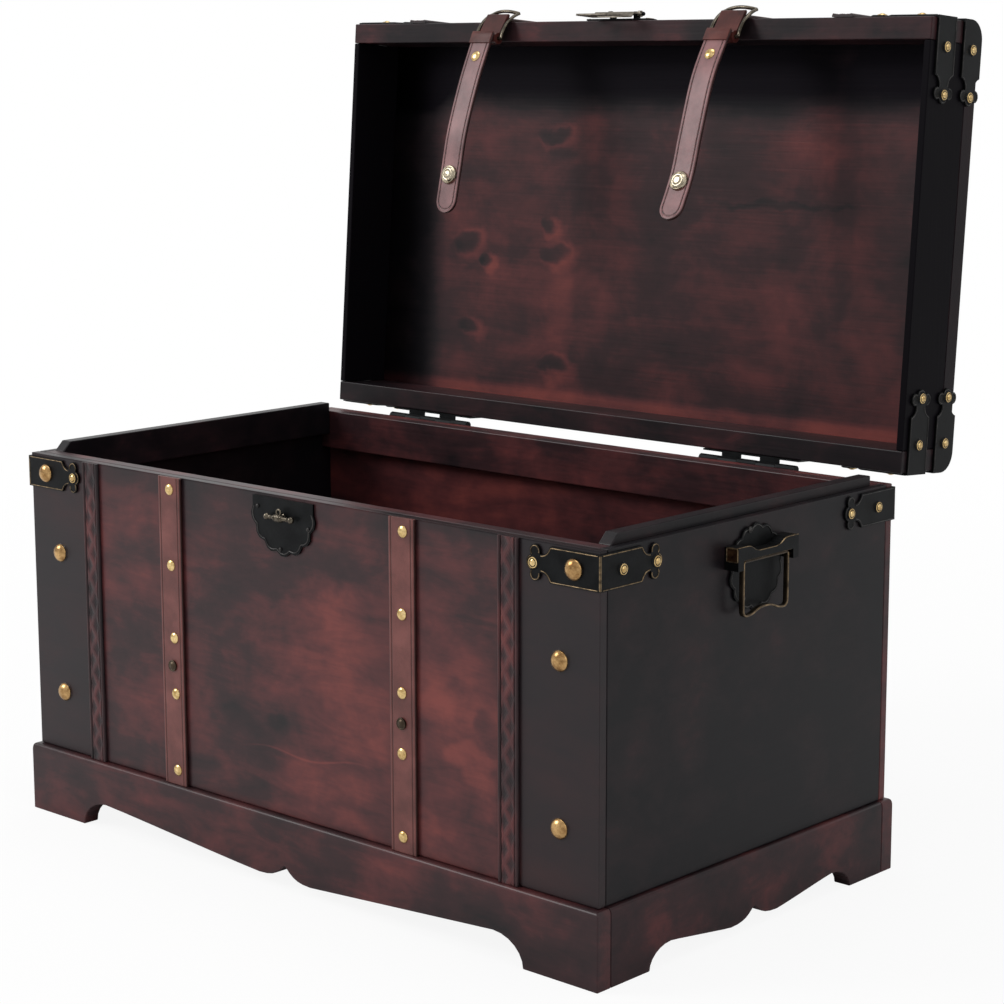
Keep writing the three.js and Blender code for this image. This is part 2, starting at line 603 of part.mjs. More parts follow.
// The leaf is drawn from the pin downwards: eyes beside the lugs, a plate, a crank, and the slotted end
function haspLeaf() {
  const h = hasp;
  const outer = -h.leaf / 2;
  const sunk = h.pinProud - h.leafProud - h.leaf;
  const profile = new THREE.Shape();
  profile.moveTo(outer, -h.leafTop);
  profile.lineTo(outer, -h.crankStart);
  profile.lineTo(sunk, -h.crankEnd);
  profile.lineTo(sunk, -h.pinRise - h.tipBeyond);
  profile.lineTo(sunk + h.leaf, -h.pinRise - h.tipBeyond);
  profile.lineTo(sunk + h.leaf, -h.crankEnd);
  profile.lineTo(outer + h.leaf, -h.crankStart);
  profile.lineTo(outer + h.leaf, -h.leafTop);
  profile.closePath();
  const plate = onRight(sheet(profile, 2 * h.leafHalf, -h.leafHalf));
  const low = -h.pinRise - h.tipBeyond;
  const tip = new THREE.Shape();
  tip.moveTo(h.leafHalf, low + h.tipRadius);
  tip.lineTo(h.leafHalf, 0);
  tip.lineTo(-h.leafHalf, 0);
  tip.lineTo(-h.leafHalf, low + h.tipRadius);
  tip.quadraticCurveTo(-h.leafHalf, low, -h.leafHalf + h.tipRadius, low);
  tip.lineTo(h.leafHalf - h.tipRadius, low);
  tip.quadraticCurveTo(h.leafHalf, low, h.leafHalf, low + h.tipRadius);
  const trimmed = common(plate, onFront(sheet(tip, 2 * h.pinProud, -h.pinProud, lobeSteps)));
  const eyes = [-1, 1].flatMap((side) => {
    const x0 = side > 0 ? h.lugInner + h.lugThick + seatGap : -h.lugInner - 2 * h.lugThick - seatGap;
    const x1 = x0 + h.lugThick;
    return [rodX(h.eye, x0, x1), block(x0, x1, outer, outer + h.leaf, -h.leafTop - h.leaf, 0)];
  });
  const through = 2 * h.pinProud;
  const slot = block(
    -h.slotHalf, h.slotHalf, -through, through, -h.pinRise - h.slotEnd, -h.pinRise - h.slotStart,
  );
  return cut(join([trimmed, ...eyes]), [slot, rodX(h.pinRadius + seatGap, -h.leafHalf, h.leafHalf)]);
}
add(closedFrame, 'hasp_leaf', haspLeaf(), blackMetal).position.set(0, frontY - hasp.pinProud, pinZ);

// Side handles: a scalloped plate with a hooded bracket, and the bail that hangs in its ears
function handlePlate() {
  const h = handle;
  const disc = new THREE.Shape();
  disc.moveTo(h.plateRadius * scallop.valleyShare, 0);
  addScallops(disc, 0, 0, h.plateRadius, 0, 2 * Math.PI, h.lobes);
  const hood = new THREE.Shape();
  hood.moveTo(-h.hoodHalf, h.earLow);
  hood.lineTo(-h.earInner, h.earLow);
  hood.lineTo(-h.earInner, h.hoodLow);
  hood.lineTo(h.earInner, h.hoodLow);
  hood.lineTo(h.earInner, h.earLow);
  hood.lineTo(h.hoodHalf, h.earLow);
  hood.lineTo(h.hoodHalf, h.hoodHigh);
  const shares = [hoodShares.shoulder, hoodShares.bend, hoodShares.waist];
  const [shoulder, bend, waist] = shares.map((share) => share * h.hoodHalf);
  hood.lineTo(shoulder, h.hoodHigh);
  hood.bezierCurveTo(bend, h.hoodHigh, bend, h.hoodWaist, waist, h.hoodWaist);
  hood.lineTo(-waist, h.hoodWaist);
  hood.bezierCurveTo(-bend, h.hoodWaist, -bend, h.hoodHigh, -shoulder, h.hoodHigh);
  hood.lineTo(-h.hoodHalf, h.hoodHigh);
  hood.closePath();
  const bracket = sheet(hood, h.hoodProud - seatGap, seatGap, lobeSteps);
  const body = join([sheet(disc, h.plate, seatGap, lobeSteps), bracket]);
  const bore = rodX(h.rodRadius + seatGap, -h.rodHalf - seatGap, h.rodHalf + seatGap, h.rodUp, h.rodOut);
  return onRight(cut(body, [bore]));
}

function bailOutline(inset) {
  const b = bail;
  const half = b.half - inset;
  const top = handle.rodUp + b.top - inset;
  const foot = -b.foot + inset;
  const corner = b.corner - inset;
  const path = new THREE.Shape();
  path.moveTo(half, top);
  path.lineTo(-half, top);
  path.lineTo(-half, foot + corner);
  path.quadraticCurveTo(-half, foot, -half + corner, foot);
  path.bezierCurveTo(-half * b.waveShare, foot, -half * b.waveShare, foot + b.raise, 0, foot + b.raise);
  path.bezierCurveTo(half * b.waveShare, foot + b.raise, half * b.waveShare, foot, half - corner, foot);
  path.quadraticCurveTo(half, foot, half, foot + corner);
  path.closePath();
  return path;
}

function bailRing() {
  const start = handle.rodOut - bail.depth / 2;
  const outer = sheet(bailOutline(0), bail.depth, start, lobeSteps);
  const hole = sheet(bailOutline(bail.band), bail.depth + 2 * overrun, start - overrun, lobeSteps);
  const ring = cut(outer, [hole]);
  const rod = rodX(handle.rodRadius, -handle.rodHalf, handle.rodHalf, handle.rodUp, handle.rodOut);
  return onRight(join([ring, rod]));
}
const plateGeometry = handlePlate();
const bailGeometry = bailRing();
for (const [name, side] of [['left', -1], ['right', 1]]) {
  for (const [piece, geometry] of [['plate', plateGeometry], ['bail', bailGeometry]]) {
    const mesh = add(chest, `${name}_handle_${piece}`, geometry, blackMetal);
    mesh.position.set(side * sideX, 0, handle.z);
    mesh.rotation.z = side > 0 ? 0 : Math.PI;
  }
}

// Strap ends at the lid rim. Their places follow the open lid.
function opened(y, z) {
  const angle = turn(-openAngle);
  const dy = y - hingeY;
  const dz = z - hingeZ;
  const [across, up] = [Math.cos(angle), Math.sin(angle)];
  return [hingeY + dy * across - dz * up, hingeZ + dy * up + dz * across];
}
const [keeperY, keeperZ] = opened(frontY - strapFace - keeper.pivotProud, lidRim - keeper.pivotDrop);
const barY = keeperY - keeper.length * Math.sin(turn(keeper.leanAngle));
const barZ = keeperZ - keeper.length * Math.cos(turn(keeper.leanAngle));
const barBore = buckle.bar + seatGap;
const keeperOuter = barBore + keeper.thickness;

// Leather loop from the lid strap's end down round the near bar of the buckle
function keeperLoop() {
  const half = keeper.width / 2;
  const end = keeper.thickness / 2;
  const band = block(-half, half, -end, end, -keeper.length, 0);
  const round = rodX(keeperOuter, -half, half, 0, -keeper.length, loopSides);
  const parts = [band, rodX(end, -half, half, 0, 0, loopSides), round];
  const loop = cut(join(parts), [rodX(barBore, -keeper.width, keeper.width, 0, -keeper.length)]);
  return loop.rotateX(-turn(keeper.leanAngle));
}

// Curved frame: two side bars along an arc, a straight near bar and an arched far bar
function buckleFrame() {
  const b = buckle;
  const radius = ((b.length / 2) ** 2 + b.rise ** 2) / (2 * b.rise);
  const centre = b.rise - radius;
  const half = Math.asin(b.length / 2 / radius);
  const [from, to] = [Math.PI / 2 + half, Math.PI / 2 - half];
  const arc = new THREE.Shape();
  arc.absarc(b.length / 2, centre, radius + b.thickness / 2, from, to, true);
  arc.absarc(b.length / 2, centre, radius - b.thickness / 2, to, from, false);
  arc.closePath();
  const sides = [-b.width / 2, b.width / 2 - b.side].map((w) => sheet(arc, b.side, w));
  const section = new THREE.Shape();
  section.absarc(0, 0, b.bar, 0, 2 * Math.PI, false);
  const reach = (b.width - b.side) / 2;
  const [near, top, far] = [[0, -reach], [2 * b.archRise, 0], [0, reach]].map(([rise, across]) => (
    new THREE.Vector3(b.length, rise, across)));
  const extrudePath = new THREE.QuadraticBezierCurve3(near, top, far);
  const farBar = new THREE.ExtrudeGeometry(section, {
    steps: b.archSteps, curveSegments: studSides, bevelEnabled: false, extrudePath,
  });
  const nearBar = new THREE.CylinderGeometry(b.bar, b.bar, b.width - b.side, rodSides).rotateX(Math.PI / 2);
  return onRight(join([...sides, farBar, nearBar])).rotateX(turn(b.angle));
}

// The tongue is drawn down from the near bar: s along it, n outwards from the bar's centre line
function tongueStrap(leanAngle) {
  const t = tongue;
  const seat = keeperOuter + seatGap + t.thickness / 2;
  const hanging = new THREE.SplineCurve([
    new THREE.Vector2(0, seat),
    ...tongueShares.map(([along, out]) => new THREE.Vector2(t.length * along, seat + t.length * out)),
  ]);
  const wrapped = Array.from({ length: t.wrapSteps }, (unused, i) => {
    const angle = Math.PI / 2 + turn(t.wrapAngle) * (1 - i / t.wrapSteps);
    return new THREE.Vector2(seat * Math.cos(angle), seat * Math.sin(angle));
  });
  const points = [...wrapped, ...hanging.getSpacedPoints(t.samples)];
  const edge = (offset) => points.map((point, i) => {
    const before = points[Math.max(i - 1, 0)];
    const after = points[Math.min(i + 1, points.length - 1)];
    const normal = new THREE.Vector2(before.y - after.y, after.x - before.x).setLength(offset);
    return point.clone().add(normal);
  });
  const band = new THREE.Shape([...edge(t.thickness / 2), ...edge(-t.thickness / 2).reverse()]);
  const halfWidth = t.width / 2;
  const outline = new THREE.Shape();
  outline.moveTo(-t.length / 2, -halfWidth);
  outline.lineTo(t.length - halfWidth, -halfWidth);
  outline.absarc(t.length - halfWidth, 0, halfWidth, -Math.PI / 2, Math.PI / 2, false);
  outline.lineTo(-t.length / 2, halfWidth);
  outline.closePath();
  const strip = sheet(band, t.width, -halfWidth);
  const trimmed = common(strip, sheet(outline, 2 * t.length, -t.length).rotateX(Math.PI / 2));
  const surface = (along) => {
    const near = points.reduce((best, p) => (Math.abs(p.x - along) < Math.abs(best.x - along) ? p : best));
    return near.y + t.thickness / 2;
  };
  const sizes = [[t.rivetAt, t.rivet, t.rivetHeight], [t.snapAt, t.snap, t.snapHeight]];
  const heads = sizes.map(([along, size, height]) => (
    nail(size, height, 0, 0, 0).rotateX(-Math.PI / 2).translate(along, surface(along), 0)));
  const whole = join([trimmed, ...heads]);
  return onRight(whole.rotateX(Math.PI)).rotateX(-Math.PI / 2 - turn(leanAngle));
}

const keeperGeometry = keeperLoop();
const buckleGeometry = buckleFrame();
const strapEnds = [['left', leftStrapX, tongue.leftAngle], ['right', rightStrapX, tongue.rightAngle]];
for (const [name, x, leanAngle] of strapEnds) {
  add(chest, `${name}_keeper`, keeperGeometry, leather).position.set(x, keeperY, keeperZ);
  add(chest, `${name}_buckle`, buckleGeometry, blackMetal).position.set(x, barY, barZ);
  add(chest, `${name}_tongue`, tongueStrap(leanAngle), leather).position.set(x, barY, barZ);
}

// The origin lies under the middle of the whole open chest
const bounds = new THREE.Box3().setFromObject(chest);
const group = new THREE.Group();
chest.position.set(-(bounds.min.x + bounds.max.x) / 2, -(bounds.min.y + bounds.max.y) / 2, -bounds.min.z);
group.add(chest);

export default group;
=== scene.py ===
# The wooden chest, dressed: stained boards, carved battens, stitched leather, brass nails and blackened
# fittings on the CAD frame. Lengths in the dictionaries are millimetres in the plinth's frame, X along the
# front, Y to the back, Z up from the floor, and angles are degrees.
import json
from math import comb, cos, pi, radians, sin

import bpy
import bmesh
import numpy as np
from mathutils import Matrix, Vector


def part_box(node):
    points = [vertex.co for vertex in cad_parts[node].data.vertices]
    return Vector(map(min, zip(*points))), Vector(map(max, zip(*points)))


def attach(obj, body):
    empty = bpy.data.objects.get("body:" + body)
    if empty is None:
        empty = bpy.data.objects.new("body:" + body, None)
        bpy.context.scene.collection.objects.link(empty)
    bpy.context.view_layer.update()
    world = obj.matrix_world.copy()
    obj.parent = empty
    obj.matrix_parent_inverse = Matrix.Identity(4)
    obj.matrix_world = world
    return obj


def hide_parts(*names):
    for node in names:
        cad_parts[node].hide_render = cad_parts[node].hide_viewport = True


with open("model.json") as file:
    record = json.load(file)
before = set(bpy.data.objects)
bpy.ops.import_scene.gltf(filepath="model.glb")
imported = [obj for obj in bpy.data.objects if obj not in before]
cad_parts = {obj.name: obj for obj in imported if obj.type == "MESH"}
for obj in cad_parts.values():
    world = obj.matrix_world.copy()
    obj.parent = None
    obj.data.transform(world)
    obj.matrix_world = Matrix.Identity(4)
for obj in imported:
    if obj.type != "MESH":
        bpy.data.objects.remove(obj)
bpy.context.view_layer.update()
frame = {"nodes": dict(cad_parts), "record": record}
nodes = frame["nodes"]
print("frame loaded:", len(nodes), "nodes")

mm = 0.001
bodyOf = {node: body for body, members in frame["record"]["behaviour"]["bodies"].items() for node in members}
slotOf = {part["node"]: part["material_slot"] for part in frame["record"]["subparts"]}
midY = (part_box("plinth_front")[0].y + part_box("plinth_back")[1].y) / 2

# The sizes that the pieces share
chest = {
    "sideX": 325, "frontY": -181, "backY": 183, "seat": 60.3, "rim": 323, "lidRim": 323.4, "lidTop": 394.4,
    "lidDepth": 71, "lidEdge": 15, "lidBoard": 14.5, "hinge": (191.5, 321), "open": 94.5, "gap": 0.3,
}


# Shader sockets as values: an expression on them adds the Math nodes
class Value:
    def __init__(self, tree, socket):
        self.tree = tree
        self.socket = socket

    def math(self, operation, *others):
        return addNode(self.tree, "ShaderNodeMath", {"operation": operation}, 0, (self, *others))

    def __add__(self, other):
        return self.math("ADD", other)

    def __sub__(self, other):
        return self.math("SUBTRACT", other)

    def __rsub__(self, other):
        return addNode(self.tree, "ShaderNodeMath", {"operation": "SUBTRACT"}, 0, (other, self))

    def __mul__(self, other):
        return self.math("MULTIPLY", other)

    def __truediv__(self, other):
        return self.math("DIVIDE", other)

    def __pow__(self, other):
        return self.math("POWER", other)

    __radd__, __rmul__ = __add__, __mul__

    def higher(self, other):
        return self.math("MAXIMUM", other)

    def size(self):
        return self.math("ABSOLUTE")

    def sine(self):
        return self.math("SINE")

    def clamped(self):
        return addNode(self.tree, "ShaderNodeMath", {"operation": "ADD", "use_clamp": True}, 0, (self, 0.0))

    # 0 below low, 1 above high, smooth between; low may be above high
    def smooth(self, low, high):
        if low > high:
            return 1 - self.smooth(high, low)
        settings = {"interpolation_type": "SMOOTHSTEP"}
        return addNode(self.tree, "ShaderNodeMapRange", settings, 0, (self, low, high, 0.0, 1.0))

    # The same on a length, with its bounds in millimetres
    def fade(self, low, high):
        return self.smooth(low * mm, high * mm)


# One node: its settings first, then its inputs by position or by name
def addNode(tree, kind, settings=None, output=0, inputs=()):
    node = tree.nodes.new(kind)
    for key, setting in (settings or {}).items():
        if key == "stops":
            ramp = node.color_ramp
            while len(ramp.elements) < len(setting):
                ramp.elements.new(0.5)
            for element, (place, colour) in zip(ramp.elements, setting):
                element.position = place
                element.color = (*colour, 1)
        else:
            setattr(node, key, setting)
    pairs = inputs.items() if isinstance(inputs, dict) else enumerate(inputs)
    for key, given in pairs:
        if isinstance(given, Value):
            tree.links.new(given.socket, node.inputs[key])
        elif given is not None:
            node.inputs[key].default_value = given
    return Value(tree, node.outputs[output])


def asColour(given):
    return given if isinstance(given, Value) else (*given, 1)


class Paint:
    def __init__(self, name):
        self.material = bpy.data.materials.new(name)
        self.material.use_nodes = True
        self.tree = self.material.node_tree
        self.shader = self.tree.nodes["Principled BSDF"]
        self.place = self.node("ShaderNodeTexCoord", output="Object")

    def node(self, kind, settings=None, output=0, inputs=()):
        return addNode(self.tree, kind, settings, output, inputs)

    # Coordinates of the piece, or of another vector, by their letters
    def axes(self, names, vector=None):
        return [self.node("ShaderNodeSeparateXYZ", {}, name, (vector or self.place,)) for name in names]

    # The piece's own map: X and Y are its two values
    def map(self):
        return self.axes("XY", self.node("ShaderNodeTexCoord", {}, "UV"))

    def stretched(self, scale, turn=(0, 0, 0), move=(0, 0, 0)):
        inputs = {"Vector": self.place, "Scale": scale, "Rotation": turn, "Location": move}
        return self.node("ShaderNodeMapping", {}, 0, inputs)

    def noise(self, vector, scale, detail=2.0, rough=0.5, warp=0.0):
        inputs = {"Vector": vector, "Scale": scale, "Detail": detail, "Roughness": rough, "Distortion": warp}
        return self.node("ShaderNodeTexNoise", {}, "Fac", inputs)

    # Noise about zero, up to half of a reach in millimetres to either side
    def wander(self, scale, reach, detail=3.0):
        return (self.noise(self.place, scale, detail) - 0.5) * (reach * mm)

    def ramp(self, factor, stops):
        return self.node("ShaderNodeValToRGB", {"stops": stops}, 0, {"Fac": factor})

    def mix(self, factor, first, second):
        inputs = {0: factor, 6: asColour(first), 7: asColour(second)}
        return self.node("ShaderNodeMix", {"data_type": "RGBA"}, 2, inputs)

    # The bump's depth is in millimetres
    def done(self, colour, roughness, metallic=0.0, bump=None, depth=0.2, specular=0.5):
        looks = {"Base Color": asColour(colour), "Roughness": roughness, "Metallic": metallic}
        for key, given in looks.items():
            if isinstance(given, Value):
                self.tree.links.new(given.socket, self.shader.inputs[key])
            else:
                self.shader.inputs[key].default_value = given
        self.shader.inputs["Specular IOR Level"].default_value = specular
        if bump is not None:
            height = {"Height": bump, "Distance": depth * mm, "Strength": 1.0}
            normal = self.node("ShaderNodeBump", {}, 0, height)
            self.tree.links.new(normal.socket, self.shader.inputs["Normal"])
        return self.material


# Camera: fitted to the photograph, in the plinth's frame, in metres
camera = {
    "place": (1.42284, -1.4899, 0.67361), "yaw": 43.68, "pitch": -10.05, "roll": -0.39,
    "focalPixels": 2488.38, "centre": (442.42, 484.13), "image": 1004, "sensor": 36,
}


def makeCamera():
    yaw, pitch, roll = (radians(camera[key]) for key in ("yaw", "pitch", "roll"))
    ahead = Vector((-sin(yaw) * cos(pitch), cos(yaw) * cos(pitch), sin(pitch)))
    right = Vector((cos(yaw), sin(yaw), 0))
    up = right.cross(ahead)
    rolledRight = right * cos(roll) + up * sin(roll)
    rolledUp = up * cos(roll) - right * sin(roll)
    turned = Matrix((rolledRight, rolledUp, -ahead)).transposed().to_4x4()
    data = bpy.data.cameras.new("camera")
    size = camera["image"]
    data.sensor_width = camera["sensor"]
    data.lens = camera["focalPixels"] / size * camera["sensor"]
    data.shift_x = (size / 2 - camera["centre"][0]) / size
    data.shift_y = (camera["centre"][1] - size / 2) / size
    holder = bpy.data.objects.new("camera", data)
    bpy.context.scene.collection.objects.link(holder)
    holder.matrix_world = Matrix.Translation(Vector(camera["place"]) + Vector((0, midY, 0))) @ turned
    bpy.context.scene.camera = holder


makeCamera()
print("camera set")

# Studio: a white room with three large soft lamps, in metres and watts. The camera sees the floor glow, more
# so further out.
studio = {
    "floor": 0.88, "floorRough": 0.9, "floorSize": 80, "glow": 0.9, "glowFrom": 0.6, "glowTo": 2.0,
    "room": 0.55, "mirrored": 0.7, "aim": (0, 0, 0.3),
    "lamps": [
        ("keyLamp", (-2.3, -2.3, 2.4), 1.8, 68),
        ("sideLamp", (3.2, -0.6, 1.8), 1.8, 8),
        ("topLamp", (0.2, 0.2, 3.2), 2.0, 26),
    ],
}


def lookAt(place, target):
    return (Vector(target) - Vector(place)).to_track_quat("-Z", "Y").to_matrix().to_4x4()


def makeRoom():
    world = bpy.data.worlds.new("room")
    bpy.context.scene.world = world
    world.use_nodes = True
    tree = world.node_tree
    tree.nodes.clear()
    kind = "ShaderNodeLightPath"
    seen, mirrored, through = (
        addNode(tree, kind, {}, ray) for ray in ("Is Camera Ray", "Is Glossy Ray", "Is Transmission Ray"))
    shown = seen.higher(mirrored * studio["mirrored"]).higher(through)
    strength = studio["room"] + shown * (1 - studio["room"])
    light = addNode(tree, "ShaderNodeBackground", {}, 0, ((1, 1, 1, 1), strength))
    output = tree.nodes.new("ShaderNodeOutputWorld")
    tree.links.new(light.socket, output.inputs["Surface"])


def makeLamps():
    for name, place, size, power in studio["lamps"]:
        data = bpy.data.lights.new(name, "AREA")
        data.shape = "DISK"
        data.size = size
        data.energy = power
        lamp = bpy.data.objects.new(name, data)
        bpy.context.scene.collection.objects.link(lamp)
        lamp.matrix_world = Matrix.Translation(place) @ lookAt(place, studio["aim"])


def makeFloor():
    bpy.ops.mesh.primitive_plane_add(size=studio["floorSize"], location=(0, 0, 0))
    floor = bpy.context.object
    floor.name = "floor"
    paint = Paint("floorWhite")
    paint.done((studio["floor"],) * 3, studio["floorRough"])
    far = paint.node("ShaderNodeVectorMath", {"operation": "LENGTH"}, "Value", (paint.place,))
    glow = studio["glow"] + far.smooth(studio["glowFrom"], studio["glowTo"]) * (1 - studio["glow"])
    white = paint.node("ShaderNodeEmission", {}, 0, ((1, 1, 1, 1), 1.0))
    seen = paint.node("ShaderNodeLightPath", {}, "Is Camera Ray")
    plain = Value(paint.tree, paint.shader.outputs[0])
    blend = paint.node("ShaderNodeMixShader", {}, 0, (seen * glow, plain, white))
    paint.tree.links.new(blend.socket, paint.tree.nodes["Material Output"].inputs["Surface"])
    floor.data.materials.append(paint.material)


makeRoom()
makeLamps()
makeFloor()
bpy.context.scene.view_settings.view_transform = "Standard"
print("studio set")

# Stained wood: soft clouds and patches over a dark ground, brush marks that lie across, waves and streaks of
# grain. Each noise has how often it repeats in a metre along X, Y and Z, or along the grain and across it,
# then its detail, roughness and warp, and its share of the tone.
stain = {
    "deep": (0.0045, 0.0038, 0.0052), "black": (0.011, 0.0070, 0.0085), "dark": (0.032, 0.0125, 0.0145),
    "red": (0.086, 0.0225, 0.0235), "bright": (0.185, 0.042, 0.036), "soot": (0.0105, 0.0080, 0.0100),
    "stops": {"deep": 0.14, "black": 0.28, "dark": 0.43, "red": 0.58, "bright": 0.78},
    "cloud": (0.85, 1, 1.05), "cloudNoise": (4.0, 0.6, 0.25), "cloudShare": 0.58,
    "patch": (1, 1, 0.8), "patchNoise": (2.0, 0.5, 0.3), "patchShare": 0.45, "patchScale": 0.45,
    "brush": (13, 30, 44), "brushNoise": (4.0, 0.66, 0.5),
    "wave": (5.0, 70.0), "waveNoise": (3.0, 0.6, 0.4),
    "streak": (10.0, 520.0), "streakNoise": (2.0, 0.6),
    "turns": {"patch": (0, 0.6, 0), "brush": (0, -0.45, 0)}, "glossShare": 0.12, "depth": 0.12,
}


def stainStops(places):
    return [(place, stain[name]) for name, place in places.items()]


# Soft oval marks: each is a centre, a reach along the two axes in millimetres, and how much it lifts the tone
def ovals(first, second, marks):
    total = 0.0
    for a, b, reachA, reachB, lift in marks:
        off = ((first - a * mm) / (reachA * mm)) ** 2.0 + ((second - b * mm) / (reachB * mm)) ** 2.0
        total = off.smooth(1.0, 0.0) * lift + total
    return total


def stainedWood(name, grain, tones, shift, marks=None, soot=None, dull=None):
    paint = Paint(name)

    def noise(key, scale=1.0):
        stretch, turn = stain[key], stain["turns"].get(key, (0, 0, 0))
        if len(stretch) == 2:
            stretch = [stretch[0] if axis == grain else stretch[1] for axis in "XYZ"]
        return paint.noise(paint.stretched(stretch, turn, shift), scale, *stain[key + "Noise"])

    cloud, patch = noise("cloud", tones["cloud"]), noise("patch", tones["cloud"] * stain["patchScale"])
    brush, wave, streak = noise("brush"), noise("wave"), noise("streak")
    shares = (
        (cloud, stain["cloudShare"]), (patch, stain["patchShare"]), (brush, tones["brush"]),
        (wave, tones["wave"]), (streak, tones["streak"]))
    tone = tones["level"]
    for part, share in shares:
        tone = (part - 0.5) * share + tone
    if marks:
        tone = tone + marks(paint)
    colour = paint.ramp(tone.clamped(), stainStops(stain["stops"]))
    if soot:
        colour = paint.mix(soot(paint), colour, stain["soot"])
    gloss = (streak + cloud - 1.0) * stain["glossShare"] + tones["rough"]
    metallic = dull(paint) if dull else 0.0
    height = (wave + streak) * 0.5
    return paint.done(colour, gloss, metallic, bump=height, depth=stain["depth"], specular=tones["specular"])


# The front: brighter red low down and near the right strap, darker towards the top, a fine crack low down,
# and nearly black end zones outside the battens. The top edge is dull.
frontStain = {
    "marks": [
        (196, 148, 30, 16, 0.16), (212, 130, 20, 12, 0.12), (84, 185, 60, 100, 0.08),
        (52, 100, 70, 24, 0.09), (-185, 258, 26, 44, 0.08), (-40, 285, 130, 66, -0.19),
        (-12, 136, 20, 8, -0.14), (-52, 128, 26, 14, -0.08), (-95, 128, 26, 40, 0.09),
        (190, 285, 46, 34, -0.07), (160, 190, 30, 30, 0.07), (150, 90, 18, 30, 0.09),
        (218, 172, 12, 18, -0.12), (185, 160, 60, 110, 0.10), (70, 215, 34, 60, 0.06),
        (-210, 95, 22, 40, 0.03), (-195, 185, 44, 70, -0.09), (30, 235, 46, 22, 0.05),
        (-70, 100, 44, 30, 0.08),
    ],
    "wander": 50, "wanderScale": 22.0, "crack": (20, 114), "slope": 0.05, "waves": 60.0, "wave": 3,
    "half": 1.6, "lift": 0.12, "crackFrom": (-60, -30), "crackTo": (100, 70),
    "shade": (300, 317), "shadeLift": -0.10, "zone": (240, 252), "zoneWander": 12, "zoneScale": 12.0,
    "soot": 0.88, "edge": (-1.5, -0.8), "dull": 0.5,
}


def frontMarks(paint):
    f = frontStain
    x, z = paint.axes("XZ")
    crackX, crackZ = f["crack"]
    line = (z - crackZ * mm) - (x - crackX * mm) * f["slope"] + (x * f["waves"]).sine() * (f["wave"] * mm)
    crack = line.size().fade(f["half"], 0) * x.fade(*f["crackFrom"]) * x.fade(*f["crackTo"]) * f["lift"]
    wander = paint.wander(f["wanderScale"], f["wander"])
    return ovals(x + wander, z - wander, f["marks"]) + crack + z.fade(*f["shade"]) * f["shadeLift"]


def endZones(paint):
    wander = paint.wander(frontStain["zoneScale"], frontStain["zoneWander"], 2.0)
    return (paint.axes("X")[0].size() + wander).fade(*frontStain["zone"]) * frontStain["soot"]


def frontDull(paint):
    low, high = frontStain["edge"]
    return paint.axes("Z")[0].fade(chest["rim"] + low, chest["rim"] + high) * frontStain["dull"]


# The lid's inside: knots with dark hearts and reddish rings, dark bands, a long dark lens, painted shadow
# along the top, where the lid's front board shades it, and at the left, where the left wall's painted shadow
# lies over darker stain, and a glow below. Where the shadow is painted the board is dull as well. Ring and
# heart move a knot and stretch it.
lidStainAndShade = {
    "knots": [
        (-112, 588, 19, 8), (-112, 506, 12, 7), (-104, 480, 17, 9), (-216, 485, 15, 10), (-208, 406, 14, 8),
        (-99, 376, 18, 9), (-190, 470, 8, 6),
    ],
    "ring": (7, -2, 1.7, 2.0, 0.19), "heart": (0, 0, 1.25, 1.25, -0.30), "wander": 26, "wanderScale": 34.0,
    "marks": [
        (-48, 560, 14, 90, -0.05), (216, 520, 16, 120, -0.06), (150, 534, 95, 5, -0.13),
        (-150, 440, 60, 30, 0.06), (-95, 430, 26, 60, 0.07), (40, 470, 60, 60, -0.05),
        (60, 400, 60, 26, -0.04), (120, 480, 60, 40, -0.03), (180, 560, 90, 30, 0.03),
        (250, 430, 60, 50, 0.05), (-60, 620, 60, 30, -0.04),
    ],
    # left and top: painted shadow cast by the lid's left wall and front board, with darker stain under the
    # left one
    "left": (-238, -272), "leftLift": -0.26, "leftShadowDull": 0.7,
    "top": (598, 634), "topLift": -0.40, "topShadowDull": 0.95,
    "low": (358, 348), "lowLift": 0.24, "skin": 0.5,
    "endSkin": (-0.7, -0.2), "endSoot": 0.93, "endDull": 0.95,
}


# One on the inner face of the open lid's top board, nothing outside
def lidInside(y, z):
    tilt = radians(chest["open"] - 90)
    hingeY, hingeZ = chest["hinge"]
    middle = (midY + hingeY * mm) * cos(tilt) - hingeZ * mm * sin(tilt)
    outside = (chest["lidTop"] - hingeZ - chest["lidBoard"]) * mm + middle
    return (y * cos(tilt) - z * sin(tilt)).smooth(outside, outside - lidStainAndShade["skin"] * mm)


def lidMarks(paint):
    x, y, z = paint.axes("XYZ")
    wander = paint.wander(lidStainAndShade["wanderScale"], lidStainAndShade["wander"])
    spots = list(lidStainAndShade["marks"])
    for moveA, moveB, growA, growB, lift in (lidStainAndShade["heart"], lidStainAndShade["ring"]):
        spots += [
            (a + moveA, b + moveB, reachA * growA, reachB * growB, lift)
            for a, b, reachA, reachB in lidStainAndShade["knots"]]
    marks = ovals(x + wander, z + wander, spots)
    # Painted shadow at the left and along the top, and a lighter band low down
    for axis, key in ((x, "left"), (z, "top"), (z, "low")):
        marks = marks + axis.fade(*lidStainAndShade[key]) * lidStainAndShade[key + "Lift"]
    return marks * lidInside(y, z)


# The lid's outer end faces
def lidEndFaces(paint):
    low, high = lidStainAndShade["endSkin"]
    return paint.axes("X")[0].size().fade(chest["sideX"] + low, chest["sideX"] + high)


def lidEnds(paint):
    return lidEndFaces(paint) * lidStainAndShade["endSoot"]


